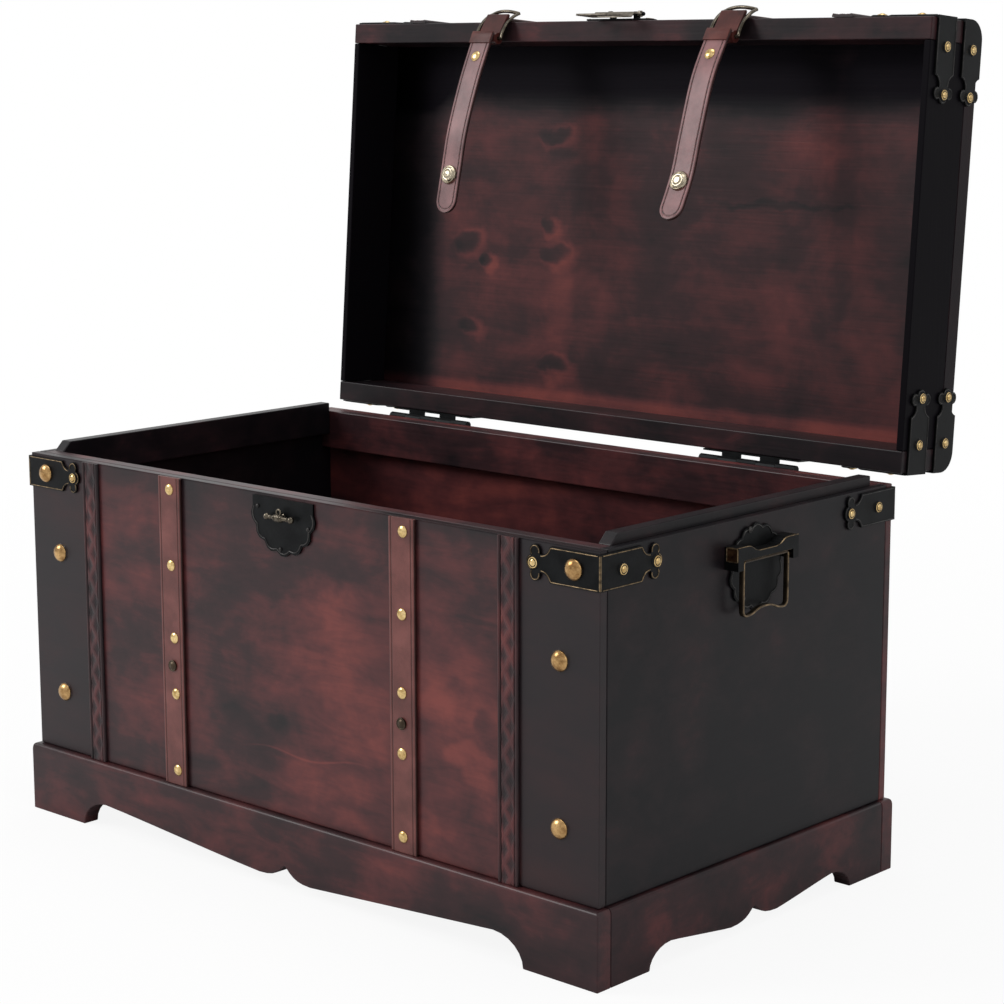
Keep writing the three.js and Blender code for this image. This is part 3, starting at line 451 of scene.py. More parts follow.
# Metallic over the dark colour takes the reflection away: at the left and top, where the lid's shadow is
# painted, and on the dull end faces
def lidShadowAndDull(paint):
    x, y, z = paint.axes("XYZ")
    left = x.fade(*lidStainAndShade["left"]) * lidStainAndShade["leftShadowDull"]
    top = z.fade(*lidStainAndShade["top"]) * lidStainAndShade["topShadowDull"]
    return ((left + top) * lidInside(y, z)).higher(lidEndFaces(paint) * lidStainAndShade["endDull"]).clamped()


# The outer face of the back board is nearly black, its inner face stained
backSkin = {"from": -1.5, "to": -0.5, "soot": 0.9}


def backOuter(paint):
    out = paint.axes("Y")[0] - midY
    return out.fade(chest["backY"] + backSkin["from"], chest["backY"] + backSkin["to"]) * backSkin["soot"]


# The plinth's front: a red patch near its left end, darker towards both ends
plinthSpots = [(-150, 32, 60, 20, 0.13), (-260, 30, 30, 26, -0.10), (180, 30, 90, 18, -0.06)]


def plinthMarks(paint):
    return ovals(*paint.axes("XZ"), plinthSpots)


# Each wood: its grain's axis, what its tones change, where its noises start, its masks and its boards
plainTones = {
    "cloud": 17.0, "wave": 0.07, "streak": 0.06, "brush": 0.42, "level": 0.515, "rough": 0.36,
    "specular": 0.27,
}
lidTones = {"level": 0.475, "wave": 0.10, "streak": 0.10, "brush": 0.2, "specular": 0.2}
frontMasks = {"marks": frontMarks, "soot": endZones, "dull": frontDull}
lidMasks = {"marks": lidMarks, "soot": lidEnds, "dull": lidShadowAndDull}
woods = {
    "frontStain": ("X", {}, (0.35, 0.1, 0.2), frontMasks, ["base_front"]),
    "sideSoot": (
        "Y", {"level": 0.17, "specular": 0.19}, (0.2, 0.7, 0.3), {}, ["base_left_side", "base_right_side"]),
    "innerStain": ("X", {"level": 0.55}, (2.2, 0.3, 0.5), {}, ["base_bottom"]),
    "backStain": ("X", {"level": 0.56}, (0.7, 0.5, 1.6), {"soot": backOuter}, ["base_back"]),
    "railStain": ("X", {"level": 0.47}, (3.1, 0.2, 0.7), {}, ["front_top_rail", "back_top_rail"]),
    "guideSoot": (
        "Y", {"level": 0.22, "specular": 0.2}, (0.5, 0.2, 0.7), {}, ["left_lid_guide", "right_lid_guide"]),
    "plinthStain": (
        "X", {"level": 0.45}, (1.3, 0.4, 0.1), {"marks": plinthMarks}, ["plinth_front", "plinth_back"]),
    "plinthSideStain": (
        "Y", {"level": 0.43, "specular": 0.2}, (2.3, 0.4, 0.1), {}, ["plinth_left", "plinth_right"]),
    "lidStainAndShade": ("X", lidTones, (0.9, 1.1, 0.6), lidMasks, ["lid_top"]),
    "lidRailStain": ("X", {"level": 0.34, "specular": 0.15}, (1.1, 0.6, 0.4), {}, ["lid_front", "lid_back"]),
    "lidSideSoot": (
        "Z", {"level": 0.02, "specular": 0.03}, (0.2, 0.7, 0.3), {}, ["lid_left_side", "lid_right_side"]),
}

# Carved wood: dark in the hollows and red on the ridges, darker on the left. The map's first value is the
# height of the carving.
carvedTones = {
    "stops": {"black": 0.30, "dark": 0.48, "red": 0.64, "bright": 0.84},
    "cloud": (1, 1, 0.6), "cloudNoise": (30.0, 3.0, 0.6), "cloudShare": 0.75,
    "fine": (400, 400, 60), "fineNoise": (1.0, 2.0, 0.6), "fineShare": 0.12, "fineGloss": 0.2,
    "heightShare": 0.24, "level": -0.04, "left": (100, -100), "leftLift": -0.06, "rough": 0.4,
    "specular": 0.3,
}


def carvedPaint():
    c = carvedTones
    paint = Paint("carvedStain")
    height = paint.map()[0]
    cloud = paint.noise(paint.stretched(c["cloud"]), *c["cloudNoise"])
    fine = paint.noise(paint.stretched(c["fine"]), *c["fineNoise"])
    left = paint.axes("X")[0].fade(*c["left"]) * c["leftLift"]
    tone = cloud * c["cloudShare"] + height * c["heightShare"] + fine * c["fineShare"] + left + c["level"]
    colour = paint.ramp(tone.clamped(), stainStops(c["stops"]))
    return paint.done(colour, c["rough"] + (fine - 0.5) * c["fineGloss"], bump=fine, specular=c["specular"])


# Leather and its stitching. The map holds the distance from the nearest edge and the place along the strap,
# in metres. A noise has how often it repeats in a metre, its detail and its roughness.
leather = {
    "cloud": (34.0, 3.0, 0.6), "pores": (1100.0, 2.0, 0.6), "poreShare": 0.2, "poreGloss": 0.25,
    "poreRise": 0.25, "stops": (0.34, 0.5, 0.66),
}
# The worn colour darkens the edge band and the side faces, partly the leather's dark edge and partly painted
# shade on the side faces, and the stitch groove
stitching = {
    "inset": 3.2, "half": 0.62, "pitch": 4.4, "gap": (-0.5, 0.1), "groove": 1.0, "rim": (0.8, 0.2),
    "rimShare": 0.85, "grooveShare": 0.5, "worn": (0.016, 0.006, 0.005), "thread": (0.014, 0.007, 0.007),
    "threadRise": 0.9,
}


def leatherPaint(name, rough, depth, colours, finish, specular=0.4):
    paint = Paint(name)
    cloud, pores = (paint.noise(paint.place, *leather[key]) for key in ("cloud", "pores"))
    tone = cloud * (1 - leather["poreShare"]) + pores * leather["poreShare"]
    colour = paint.ramp(tone, list(zip(leather["stops"], colours)))
    height = pores
    if finish != "plain":
        s = stitching
        edge, along = paint.map()
        off = (edge - s["inset"] * mm).size()
        # Dark edge band and side faces: the leather's dark edge with painted shade on the side faces; darker
        # in the stitch groove
        groove, rim = off.fade(s["groove"], 0), edge.fade(*s["rim"])
        wear = rim * s["rimShare"] + groove * s["grooveShare"]
        colour = paint.mix(wear.clamped(), colour, s["worn"])
        height = pores * leather["poreRise"] - groove
    if finish == "sewn":
        dash = (along * (2 * pi / (s["pitch"] * mm))).sine().smooth(*s["gap"])
        thread = off.fade(s["half"], s["half"] * 0.5) * dash
        colour = paint.mix(thread, colour, s["thread"])
        height = height + thread * s["threadRise"]
    gloss = rough + (pores - 0.5) * leather["poreGloss"]
    return paint.done(colour, gloss, bump=height, depth=depth, specular=specular)


# Metal: a cloud between two colours with finer grit
metal = {
    "cloudNoise": (3.0, 0.6), "gritNoise": (2.0, 0.6), "gritScale": 9, "gritShare": 0.2,
    "stops": (0.35, 0.65), "cloudGloss": 0.2,
}


def metalPaint(name, low, high, rough, metallic=0.9, scale=60.0, depth=0.1):
    paint = Paint(name)
    cloud = paint.noise(paint.place, scale, *metal["cloudNoise"])
    grit = paint.noise(paint.place, scale * metal["gritScale"], *metal["gritNoise"])
    tone = cloud * (1 - metal["gritShare"]) + grit * metal["gritShare"]
    colour = paint.ramp(tone, list(zip(metal["stops"], (low, high))))
    gloss = rough + (cloud - 0.5) * metal["cloudGloss"]
    return paint.done(colour, gloss, metallic, bump=(cloud + grit) * 0.5, depth=depth)


# Leathers: roughness, bump depth, three colours from dark to light, edge and stitching. Metals: the two
# colours, roughness, metallic, the cloud's scale, bump depth.
leathers = {
    "strap": (
        "strapLeather", 0.40, 0.3, [(0.078, 0.020, 0.017), (0.125, 0.034, 0.029), (0.18, 0.054, 0.046)],
        "grooved"),
    "keeper": (
        "keeperLeather", 0.36, 0.12, [(0.032, 0.009, 0.008), (0.070, 0.018, 0.015), (0.12, 0.034, 0.027)],
        "plain", 0.2),
    "tongue": (
        "tongueLeather", 0.40, 0.3, [(0.095, 0.036, 0.038), (0.165, 0.070, 0.072), (0.24, 0.105, 0.106)],
        "sewn"),
}
metals = {
    "black": ("blackenedMetal", (0.0028, 0.0032, 0.0037), (0.0095, 0.0103, 0.0110), 0.45, 0.88),
    "bronze": ("darkBronze", (0.030, 0.022, 0.015), (0.075, 0.055, 0.036), 0.32),
    "pewter": ("wornPewter", (0.030, 0.025, 0.019), (0.17, 0.145, 0.11), 0.24, 0.95, 120.0, 0.05),
    "leaf": ("leafSteel", (0.12, 0.105, 0.085), (0.27, 0.24, 0.20), 0.3, 0.95, 90.0, 0.05),
    "hood": ("hoodBrass", (0.030, 0.012, 0.008), (0.15, 0.075, 0.035), 0.36, 0.9, 160.0),
    "brass": ("nailBrass", (0.40, 0.25, 0.085), (0.86, 0.64, 0.31), 0.2, 1.0, 240.0, 0.05),
    "boss": ("bossBrass", (0.22, 0.115, 0.042), (0.60, 0.38, 0.165), 0.24, 1.0, 160.0, 0.05),
    "worn": ("wornBrass", (0.035, 0.026, 0.016), (0.27, 0.19, 0.105), 0.36, 0.9, 190.0, 0.05),
    "grey": ("wornGrey", (0.012, 0.012, 0.013), (0.060, 0.057, 0.054), 0.36, 0.8, 130.0, 0.05),
    "cap": ("capNickel", (0.20, 0.165, 0.115), (0.52, 0.46, 0.35), 0.24, 1.0, 200.0, 0.05),
}
finishes = {key: leatherPaint(*given) for key, given in leathers.items()}
finishes.update({key: metalPaint(*given) for key, given in metals.items()})
finishes["carved"] = carvedPaint()
print("finishes made")


def setFinish(thing, material):
    thing.data.materials.clear()
    thing.data.materials.append(material)


# A board's copy with its doubles merged and its edges eased, in millimetres and degrees
easing = {"board": 0.8, "keeper": 0.6, "segments": 2, "angle": 40, "merge": 0.01, "flat": 1}


def easedCopy(node, width, material):
    mesh = nodes[node].data.copy()
    mesh.name = node + "_eased"
    form = bmesh.new()
    form.from_mesh(mesh)
    bmesh.ops.remove_doubles(form, verts=form.verts, dist=easing["merge"] * mm)
    bmesh.ops.dissolve_limit(form, angle_limit=radians(easing["flat"]), verts=form.verts, edges=form.edges)
    form.to_mesh(mesh)
    form.free()
    copy = bpy.data.objects.new(node + "_board", mesh)
    bpy.context.scene.collection.objects.link(copy)
    bevel = copy.modifiers.new("ease", "BEVEL")
    bevel.width = width * mm
    bevel.segments = easing["segments"]
    bevel.limit_method = "ANGLE"
    bevel.angle_limit = radians(easing["angle"])
    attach(copy, bodyOf[node])
    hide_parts(node)
    setFinish(copy, material)


for name, (grain, changes, shift, masks, members) in woods.items():
    material = stainedWood(name, grain, {**plainTones, **changes}, shift, **masks)
    for node in members:
        easedCopy(node, easing["board"], material)
print("boards stained")


# Places on the faces: u along, v up, w out of the face. A side's sign is 1 on the right and -1 on the left,
# where u runs the other way.
def onFront(flat):
    u, v, w = np.moveaxis(flat, -1, 0)
    return np.stack([u, chest["frontY"] - w, v], -1)


def onSide(flat, sign):
    u, v, w = np.moveaxis(flat, -1, 0)
    return np.stack([sign * (chest["sideX"] + w), sign * u, v], -1)


# The open lid: points of the closed lid turned back about the hinge line
def openLid(points):
    angle = radians(-chest["open"])
    hingeY, hingeZ = chest["hinge"]
    x, y, z = np.moveaxis(points, -1, 0)
    across, up = y - hingeY, z - hingeZ
    turnedY = hingeY + across * cos(angle) - up * sin(angle)
    turnedZ = hingeZ + across * sin(angle) + up * cos(angle)
    return np.stack([x, turnedY, turnedZ], -1)


# Quads between neighbouring points of a grid; a closed direction joins its last line to its first
def gridQuads(rows, columns, closedRows, closedColumns):
    row = np.arange(rows if closedRows else rows - 1)[:, None]
    column = np.arange(columns if closedColumns else columns - 1)[None, :]
    nextRow, nextColumn = (row + 1) % rows, (column + 1) % columns
    corners = [row * columns + column, nextRow * columns + column,
               nextRow * columns + nextColumn, row * columns + nextColumn]
    return np.stack([corner.ravel() for corner in corners], 1)


# Points nearer than merge become one, and edges bent by more than crease stay sharp
meshing = {"merge": 0.002, "crease": 38}


# One mesh of closed surfaces. Each is a grid (rows, columns, xyz) whose columns close; its rows close too, or
# each end is capped by one face. A count in front of the grid repeats the shape.
def makePiece(name, surfaces, like, material, closedRows=False, replaced=(), uv=None):
    points, faces, start = [], [], 0
    for surface in surfaces:
        grids = surface if surface.ndim == 4 else surface[None]
        count, rows, columns = grids.shape[:3]
        quads = gridQuads(rows, columns, closedRows, True)
        starts = start + np.arange(count) * rows * columns
        faces += (quads[None] + starts[:, None, None]).reshape(-1, 4).tolist()
        if not closedRows:
            ring = np.arange(columns)
            ends = np.stack([ring[::-1], ring + (rows - 1) * columns])
            faces += (ends[None] + starts[:, None, None]).reshape(-1, columns).tolist()
        points.append(grids.reshape(-1, 3))
        start += count * rows * columns
    places = np.concatenate(points) * mm + (0, midY, 0)
    mesh = bpy.data.meshes.new(name)
    mesh.from_pydata(places.tolist(), [], faces)
    if uv is not None:
        corners = np.empty(len(mesh.loops), dtype=np.int32)
        mesh.loops.foreach_get("vertex_index", corners)
        mesh.uv_layers.new(name="UVMap").data.foreach_set("uv", uv.reshape(-1, 2)[corners].ravel())
    form = bmesh.new()
    form.from_mesh(mesh)
    bmesh.ops.remove_doubles(form, verts=form.verts, dist=meshing["merge"] * mm)
    bmesh.ops.recalc_face_normals(form, faces=form.faces)
    form.to_mesh(mesh)
    form.free()
    mesh.shade_smooth()
    mesh.set_sharp_from_angle(angle=radians(meshing["crease"]))
    piece = bpy.data.objects.new(name, mesh)
    bpy.context.scene.collection.objects.link(piece)
    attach(piece, bodyOf[like])
    if replaced:
        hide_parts(*replaced)
    setFinish(piece, material)


def unit(vectors):
    return vectors / np.linalg.norm(vectors, axis=-1, keepdims=True)


# The left-hand normals of a flat path's steps
def leftOf(steps):
    ahead = unit(steps)
    return np.stack([-ahead[:, 1], ahead[:, 0]], 1)


# How far along its path each point lies
def lengthAlong(path):
    return np.concatenate([[0], np.cumsum(np.linalg.norm(np.diff(path, axis=0), axis=1))])


# A profile (across, out) carried along a flat path: across lies along the path's left-hand normal
def carried(path, profile, closed=False):
    path, profile = np.asarray(path, float), np.asarray(profile, float)
    steps = np.roll(path, -1, 0) - np.roll(path, 1, 0)
    if not closed:
        steps[0], steps[-1] = path[1] - path[0], path[-1] - path[-2]
    flat = path[:, None] + leftOf(steps)[:, None] * profile[None, :, :1]
    out = np.broadcast_to(profile[:, 1][None, :, None], (*flat.shape[:2], 1))
    return np.concatenate([flat, out], -1)


# An arc about a centre as points, from one angle to another in degrees
def arc(centre, radius, start, end, steps):
    angles = np.radians(np.linspace(start, end, steps + 1))
    return np.stack([centre[0] + radius * np.cos(angles), centre[1] + radius * np.sin(angles)], 1)


# A circle as a closed profile
def roundSection(radius, sides, centre=(0, 0)):
    return arc(centre, radius, 0, 360, sides)[:-1]


# A Bezier curve from the first corner to the last, pulled towards those between: each corner weighs
# binomial(n, i) (1 - t)^(n - i) t^i
def bow(corners, steps):
    t = np.linspace(0, 1, steps + 1)[:, None]
    last = len(corners) - 1
    weights = [comb(last, i) * (1 - t) ** (last - i) * t ** i for i in range(last + 1)]
    return sum(weight * np.array(corner) for weight, corner in zip(weights, corners))


# Points along a path at even spacing
def evenly(path, spacing, closed=False):
    path = np.asarray(path, float)
    if closed:
        path = np.concatenate([path, path[:1]])
    length = lengthAlong(path)
    count = max(int(round(length[-1] / spacing)), 2)
    at = np.linspace(0, length[-1], count + 1)
    even = np.stack([np.interp(at, length, path[:, axis]) for axis in (0, 1)], 1)
    return even[:-1] if closed else even


# A rounded rectangle as a closed profile, counterclockwise
def roundedSection(across0, across1, out0, out1, radius, steps=3):
    corners = [(across1 - radius, out1 - radius, 0), (across0 + radius, out1 - radius, 90),
               (across0 + radius, out0 + radius, 180), (across1 - radius, out0 + radius, 270)]
    return np.concatenate([arc((a, o), radius, turn, turn + 90, steps) for a, o, turn in corners])


# Nail heads: each point is the centre plus r(t) round the axis plus h(t) along it, where r and h follow a
# profile of shares of the head's radius and height
heads = {
    "sides": 24,
    "dome": [
        (0, -0.3), (0.96, -0.3), (1.0, 0.05), (1.0, 0.22), (0.97, 0.34), (0.90, 0.50), (0.80, 0.68),
        (0.66, 0.86), (0.48, 1.0), (0.26, 1.09), (0, 1.12),
    ],
    "ringed": [
        (0, -0.1), (1.0, -0.1), (1.08, 0.05), (1.08, 0.35), (1.0, 0.62), (0.93, 0.66), (0.86, 0.60),
        (0.80, 0.74), (0.70, 0.92), (0.60, 0.94), (0.52, 0.88), (0.46, 0.96), (0.34, 1.08), (0.22, 1.04),
        (0.12, 1.08), (0, 1.1),
    ],
    "ring": [
        (0, -0.3), (0.96, -0.3), (1.0, 0.3), (1.0, 0.62), (0.94, 0.76), (0.84, 0.76), (0.76, 0.62),
        (0.70, 0.66), (0.56, 1.0), (0.34, 1.2), (0, 1.28),
    ],
}


# Each place is a head's centre, axis, radius and height
def headGrid(places, kind):
    profile = np.array(heads[kind])
    centres, axes, radii, heights = (np.array([place[i] for place in places], float) for i in range(4))
    axes = unit(axes)
    aside = unit(np.cross(axes, np.where(np.abs(axes[:, :1]) > 0.7, (0, 0, 1.0), (1.0, 0, 0))))
    third = np.cross(axes, aside)
    angle = np.linspace(0, 2 * pi, heads["sides"], endpoint=False)
    ring = aside[:, None] * np.cos(angle)[None, :, None] + third[:, None] * np.sin(angle)[None, :, None]
    out = radii[:, None, None, None] * profile[None, :, None, :1] * ring[:, None]
    up = heights[:, None, None, None] * profile[None, :, None, 1:] * axes[:, None, None]
    return centres[:, None, None] + out + up


# A head on the box's front: its place, how far its foot stands out, its radius and height
def frontHead(x, z, out, size):
    return ((x, chest["frontY"] - out, z), (0, -1, 0), *size)


# Leather straps of the front and the lid. Their section is half a profile, mirrored: each point is how far in
# from the edge it lies and how high, and the shoulder's heights count down from the face.
strap = {
    "width": 27.2, "thickness": 3, "spacing": 2.0, "xs": {"left": -137.5, "right": 130.5},
    "shift": {"left": 0.8, "right": 1.6}, "nail": (4.8, 2.0), "nailZ": (312.5, 248.5, 187, 139, 73),
    "nailXs": {"left": (-135.7, -135.7, -133.8, -133.5, -133.5), "right": (134.2, 132.6, 132, 131.5, 131.9)},
    "snap": (4.75, 2.0), "snapZ": 163, "snapShift": 1.1, "lidShares": (0.2, 0.5, 0.8),
}
leatherEdge = {
    "foot": [(0.9, 0), (0.25, 0.35), (0, 1.2)], "shoulder": [(0, 1.0), (0.3, 0.35)],
    "face": (1.1, 2.0, stitching["inset"] - 0.5, stitching["inset"], stitching["inset"] + 0.5, 4.6, 7),
    "dip": 0.25, "middle": 0.25,
}


def leatherSection(half, thickness):
    e = leatherEdge
    side = [(half - a, n) for a, n in e["foot"]] + [(half - a, thickness - n) for a, n in e["shoulder"]]
    top = [(half - a, thickness - (e["dip"] if a == stitching["inset"] else 0)) for a in e["face"]]
    right = side + top + [(half * e["middle"], thickness)]
    return np.array(right + [(-x, n) for x, n in reversed(right)])


# A strip over a flat path (a, b): the section's first value lies across the strip, its second stands off it
def stripGrid(path, section):
    turned = np.stack([section[:, 1], -section[:, 0]], 1)
    return carried(path, turned)


# The strip's map: the distance from its nearest edge and the place along it, in metres
def stripUv(path, edge):
    return np.stack([edge, np.broadcast_to(lengthAlong(path)[:, None], edge.shape)], -1) * mm


# The path of a band over the closed lid in (y, z), from the rim up the front, round the edge and over the top
def overLid():
    front, top, edge = chest["frontY"], chest["lidTop"], chest["lidEdge"]
    flat = [(front, top - chest["lidDepth"]), (front, top - edge)]
    bend = arc((front + edge, top - edge), edge, 180, 90, steps=8)
    return evenly(np.concatenate([flat, bend, [(chest["backY"] - edge, top)]]), strap["spacing"])


def upFront():
    foot, head = (chest["frontY"], chest["seat"]), (chest["frontY"], chest["rim"] - chest["gap"])
    return evenly([foot, head], strap["spacing"])


def acrossX(flat, x):
    return np.stack([x + flat[..., 2], flat[..., 0], flat[..., 1]], -1)


strapHalf = strap["width"] / 2
strapSection = leatherSection(strapHalf, strap["thickness"]) + (0, chest["gap"])
for side, x in strap["xs"].items():
    runs = (
        (f"{side}StrapLeather", f"front_{side}_strap", upFront(), x + strap["shift"][side], None),
        (f"{side}LidStrapLeather", f"lid_{side}_strap", overLid(), x, openLid),
    )
    for name, node, path, middle, place in runs:
        grid = acrossX(stripGrid(path, strapSection), middle)
        edge = np.broadcast_to(strapHalf - np.abs(strapSection[:, 0])[None], grid.shape[:2])
        makePiece(name, [place(grid) if place else grid], node, finishes["strap"], replaced=[node],
                  uv=stripUv(path, edge))

strapFace = chest["gap"] + strap["thickness"]
frontNails, snapNails, lidNails = [], [], []
for side, x in strap["xs"].items():
    spots = zip(strap["nailXs"][side], strap["nailZ"])
    frontNails += [frontHead(nailX, z, strapFace, strap["nail"]) for nailX, z in spots]
    snapNails.append(frontHead(x + strap["snapShift"], strap["snapZ"], strapFace, strap["snap"]))
    for share in strap["lidShares"]:
        y = chest["frontY"] + share * (chest["backY"] - chest["frontY"])
        lidNails.append(((x, y, chest["lidTop"] + strapFace), (0, 0, 1), *strap["nail"]))
makePiece("strapNails", [headGrid(frontNails, "dome")], "front_left_strap", finishes["brass"])
makePiece("strapSnaps", [headGrid(snapNails, "ring")], "front_left_strap", finishes["bronze"])
makePiece("lidStrapNails", [openLid(headGrid(lidNails, "dome"))], "lid_left_strap", finishes["brass"])
print("straps laid")

# Battens: a plain bead along each edge and a carved braid of leaves between them. Height over the strip is
# h(x, s) = ground + ridge * the higher of two cosine waves that cross, leaning opposite ways, with finer
# veins.
batten = {
    "width": 20, "xs": {"left": -241.5, "right": 239.5}, "columns": 41, "step": 0.75,
    "ground": 1.6, "ridge": 1.0, "pitch": 21, "lean": 1.5, "veins": 0.12, "veinsPerLeaf": 6, "fade": 0.9,
    "bead": 3.0, "beadFoot": 1.2, "beadRise": 1.7, "beadTone": 0.55,
}


def battenGrid(path):
    b = batten
    half = b["width"] / 2
    s, across = lengthAlong(path)[:, None], np.linspace(-half, half, b["columns"])[None, :]
    phase, fromMiddle = 2 * pi / b["pitch"], np.abs(across)
    rising = np.cos(phase * (s + b["lean"] * across))
    falling = np.cos(phase * (s - b["lean"] * across) + pi)
    veins = b["veins"] * np.cos(b["veinsPerLeaf"] * phase * (s + b["lean"] * fromMiddle))
    braid = np.maximum(rising, falling) * 0.5 + 0.5 + veins
    fade = np.clip((half - b["bead"] - fromMiddle) / b["fade"], 0, 1)
    bead = np.sqrt(np.clip(1 - (1 - (half - fromMiddle) * 2 / b["bead"]) ** 2, 0, 1))
    carved = b["ground"] + b["ridge"] * np.clip(braid, 0, 1)
    height = fade * carved + (1 - fade) * (b["beadFoot"] + b["beadRise"] * bead)
    tone = np.clip(fade * braid + (1 - fade) * b["beadTone"] * bead, 0, 1)
    section = np.stack([np.broadcast_to(across, height.shape), height + chest["gap"]], -1)
    back = np.broadcast_to([(half, chest["gap"]), (-half, chest["gap"])], (len(path), 2, 2))
    section = np.concatenate([section, back], 1)
    flat = path[:, None] + leftOf(np.gradient(path, axis=0))[:, None] * section[..., 1:]
    tones = np.concatenate([tone, np.zeros((len(path), 2))], 1)
    uv = np.stack([tones, np.broadcast_to(s * mm, tones.shape)], -1)
    return np.concatenate([flat, -section[..., :1]], -1), uv


for side, x in batten["xs"].items():
    for node, path, place in (
            (f"front_{side}_batten", upFront(), None), (f"lid_{side}_batten", overLid(), openLid)):
        grid, uv = battenGrid(evenly(path, batten["step"]))
        grid = acrossX(grid, x)
        makePiece(f"{node}_carved", [place(grid) if place else grid], node, finishes["carved"],
                  replaced=[node], uv=uv)
print("battens carved")

# Corner fittings: the arm's outline in (s, t), s from the corner to the clover end. Curl and end are arcs.
fitting = {
    "thickness": 1.5, "halfHeight": 13.4, "straight": 45, "neck": (54.2, 6.4), "bend": 47.3,
    "lobe": (59.5, 8.5), "lobeRadius": 5, "tip": (61.7, 0), "tipRadius": 6, "inset": 1.0, "margin": 0.6,
    "neckMargin": 0.5, "curl": (195, -40), "end": (75, -75), "nails": (22.5, 60.5), "bead": 0.42,
    "spacing": 1.6, "baseZ": 307, "rimZ": 343.92, "topZ": 382.4, "boss": (8.0, 4.5), "stud": (4.15, 2.2),
    "fold": 1.0, "foldHalf": 12.6, "foldInset": 0.75, "foldSpacing": 4.2,
}
beadSection = roundSection(fitting["bead"], sides=8)
plateFace = chest["gap"] + fitting["thickness"]


# The lines of one arm as grids in (s, t, w)
def armBeads():
    f = fitting
    inset, half = f["inset"], f["halfHeight"] - f["inset"]
    neck = (f["neck"][0] - f["neckMargin"], f["neck"][1] - inset)
    straight = [(f["margin"], half), (f["straight"] - f["margin"], half)]
    body = np.concatenate([straight, bow([straight[1], (f["bend"], neck[1]), neck], steps=8)])
    curl = arc(f["lobe"], f["lobeRadius"] - inset, *f["curl"], steps=14)
    end = arc(f["tip"], f["tipRadius"] - inset, *f["end"], steps=12)
    lines = [body, body * (1, -1), curl, curl * (1, -1), end]
    return [carried(evenly(line, f["spacing"]), beadSection) + (0, 0, plateFace) for line in lines]


# Where an arm lies: its corner, which face it is on, and the height of its middle line
def armPlace(grid, sideSign, face, back, height):
    s, t, w = np.moveaxis(grid, -1, 0)
    endY = chest["backY"] if back else chest["frontY"]
    if face == "end":
        return np.stack([sideSign * (chest["sideX"] - s), endY + (w if back else -w), t + height], -1)
    return np.stack([sideSign * (chest["sideX"] + w), endY + (-s if back else s), t + height], -1)


def armNail(at, sideSign, face, back, height, size):
    spot = armPlace(np.array([at, 0, plateFace], float), sideSign, face, back, height)
    outward = (0, 1 if back else -1, 0) if face == "end" else (sideSign, 0, 0)
    return (spot, outward, *size)


# The fold of a fitting round its corner
def foldLine(sideSign, back):
    f = fitting
    path = evenly([(0, f["baseZ"] - f["foldHalf"]), (0, f["baseZ"] + f["foldHalf"])], f["foldSpacing"])
    grid = carried(path, roundSection(f["fold"], sides=10))
    out = plateFace - f["foldInset"]
    x = sideSign * (chest["sideX"] + out)
    y = chest["backY"] + out if back else chest["frontY"] - out
    return np.stack([x + grid[..., 0], y + grid[..., 2], grid[..., 1]], -1)


armLines = armBeads()
frontLines, otherLines, bosses, fittingNails = [], [], [], []
lidLines, lidFittingNails = [], []
for sideSign in (-1, 1):
    for back in (False, True):
        for face in ("end", "side"):
            height, (near, far) = fitting["baseZ"], fitting["nails"]
            lines = [armPlace(grid, sideSign, face, back, height) for grid in armLines]
            (otherLines if back else frontLines).extend(lines)
            bigBoss = face == "end" and not back
            first = armNail(near, sideSign, face, back, height, fitting["boss" if bigBoss else "stud"])
            (bosses if bigBoss else fittingNails).append(first)
            fittingNails.append(armNail(far, sideSign, face, back, height, fitting["stud"]))
            # The lid's top fittings have arms on its sides alone, without the line along its edge
            levels = [(fitting["rimZ"], armLines)]
            if face == "side":
                levels.append((fitting["topZ"], armLines[1:]))
            for level, beads in levels:
                lidLines += [openLid(armPlace(grid, sideSign, face, back, level)) for grid in beads]
                lidFittingNails += [
                    armNail(at, sideSign, face, back, level, fitting["stud"]) for at in fitting["nails"]]
        (otherLines if back else frontLines).append(foldLine(sideSign, back))
makePiece("frontFittingLines", frontLines, "base_front_right_fitting", finishes["worn"])
makePiece("backFittingLines", otherLines, "base_back_right_fitting", finishes["grey"])
makePiece("lidFittingLines", lidLines, "lid_front_right_rim_fitting", finishes["grey"])
makePiece("fittingBosses", [headGrid(bosses, "dome")], "base_front_right_fitting", finishes["boss"])
makePiece("fittingNails", [headGrid(fittingNails, "ring")], "base_front_right_fitting", finishes["brass"])
lidHeads = openLid(headGrid(lidFittingNails, "ring"))
makePiece("lidFittingNails", [lidHeads], "lid_front_right_rim_fitting", finishes["brass"])

# Domed bosses in the end zones of the front
frontBoss = {"xs": (-288, 288), "zs": (238, 113)}
bossPlaces = [frontHead(x, z, 0, fitting["boss"]) for x in frontBoss["xs"] for z in frontBoss["zs"]]
makePiece("frontBosses", [headGrid(bossPlaces, "dome")], "base_front", finishes["boss"])
print("fittings lined")

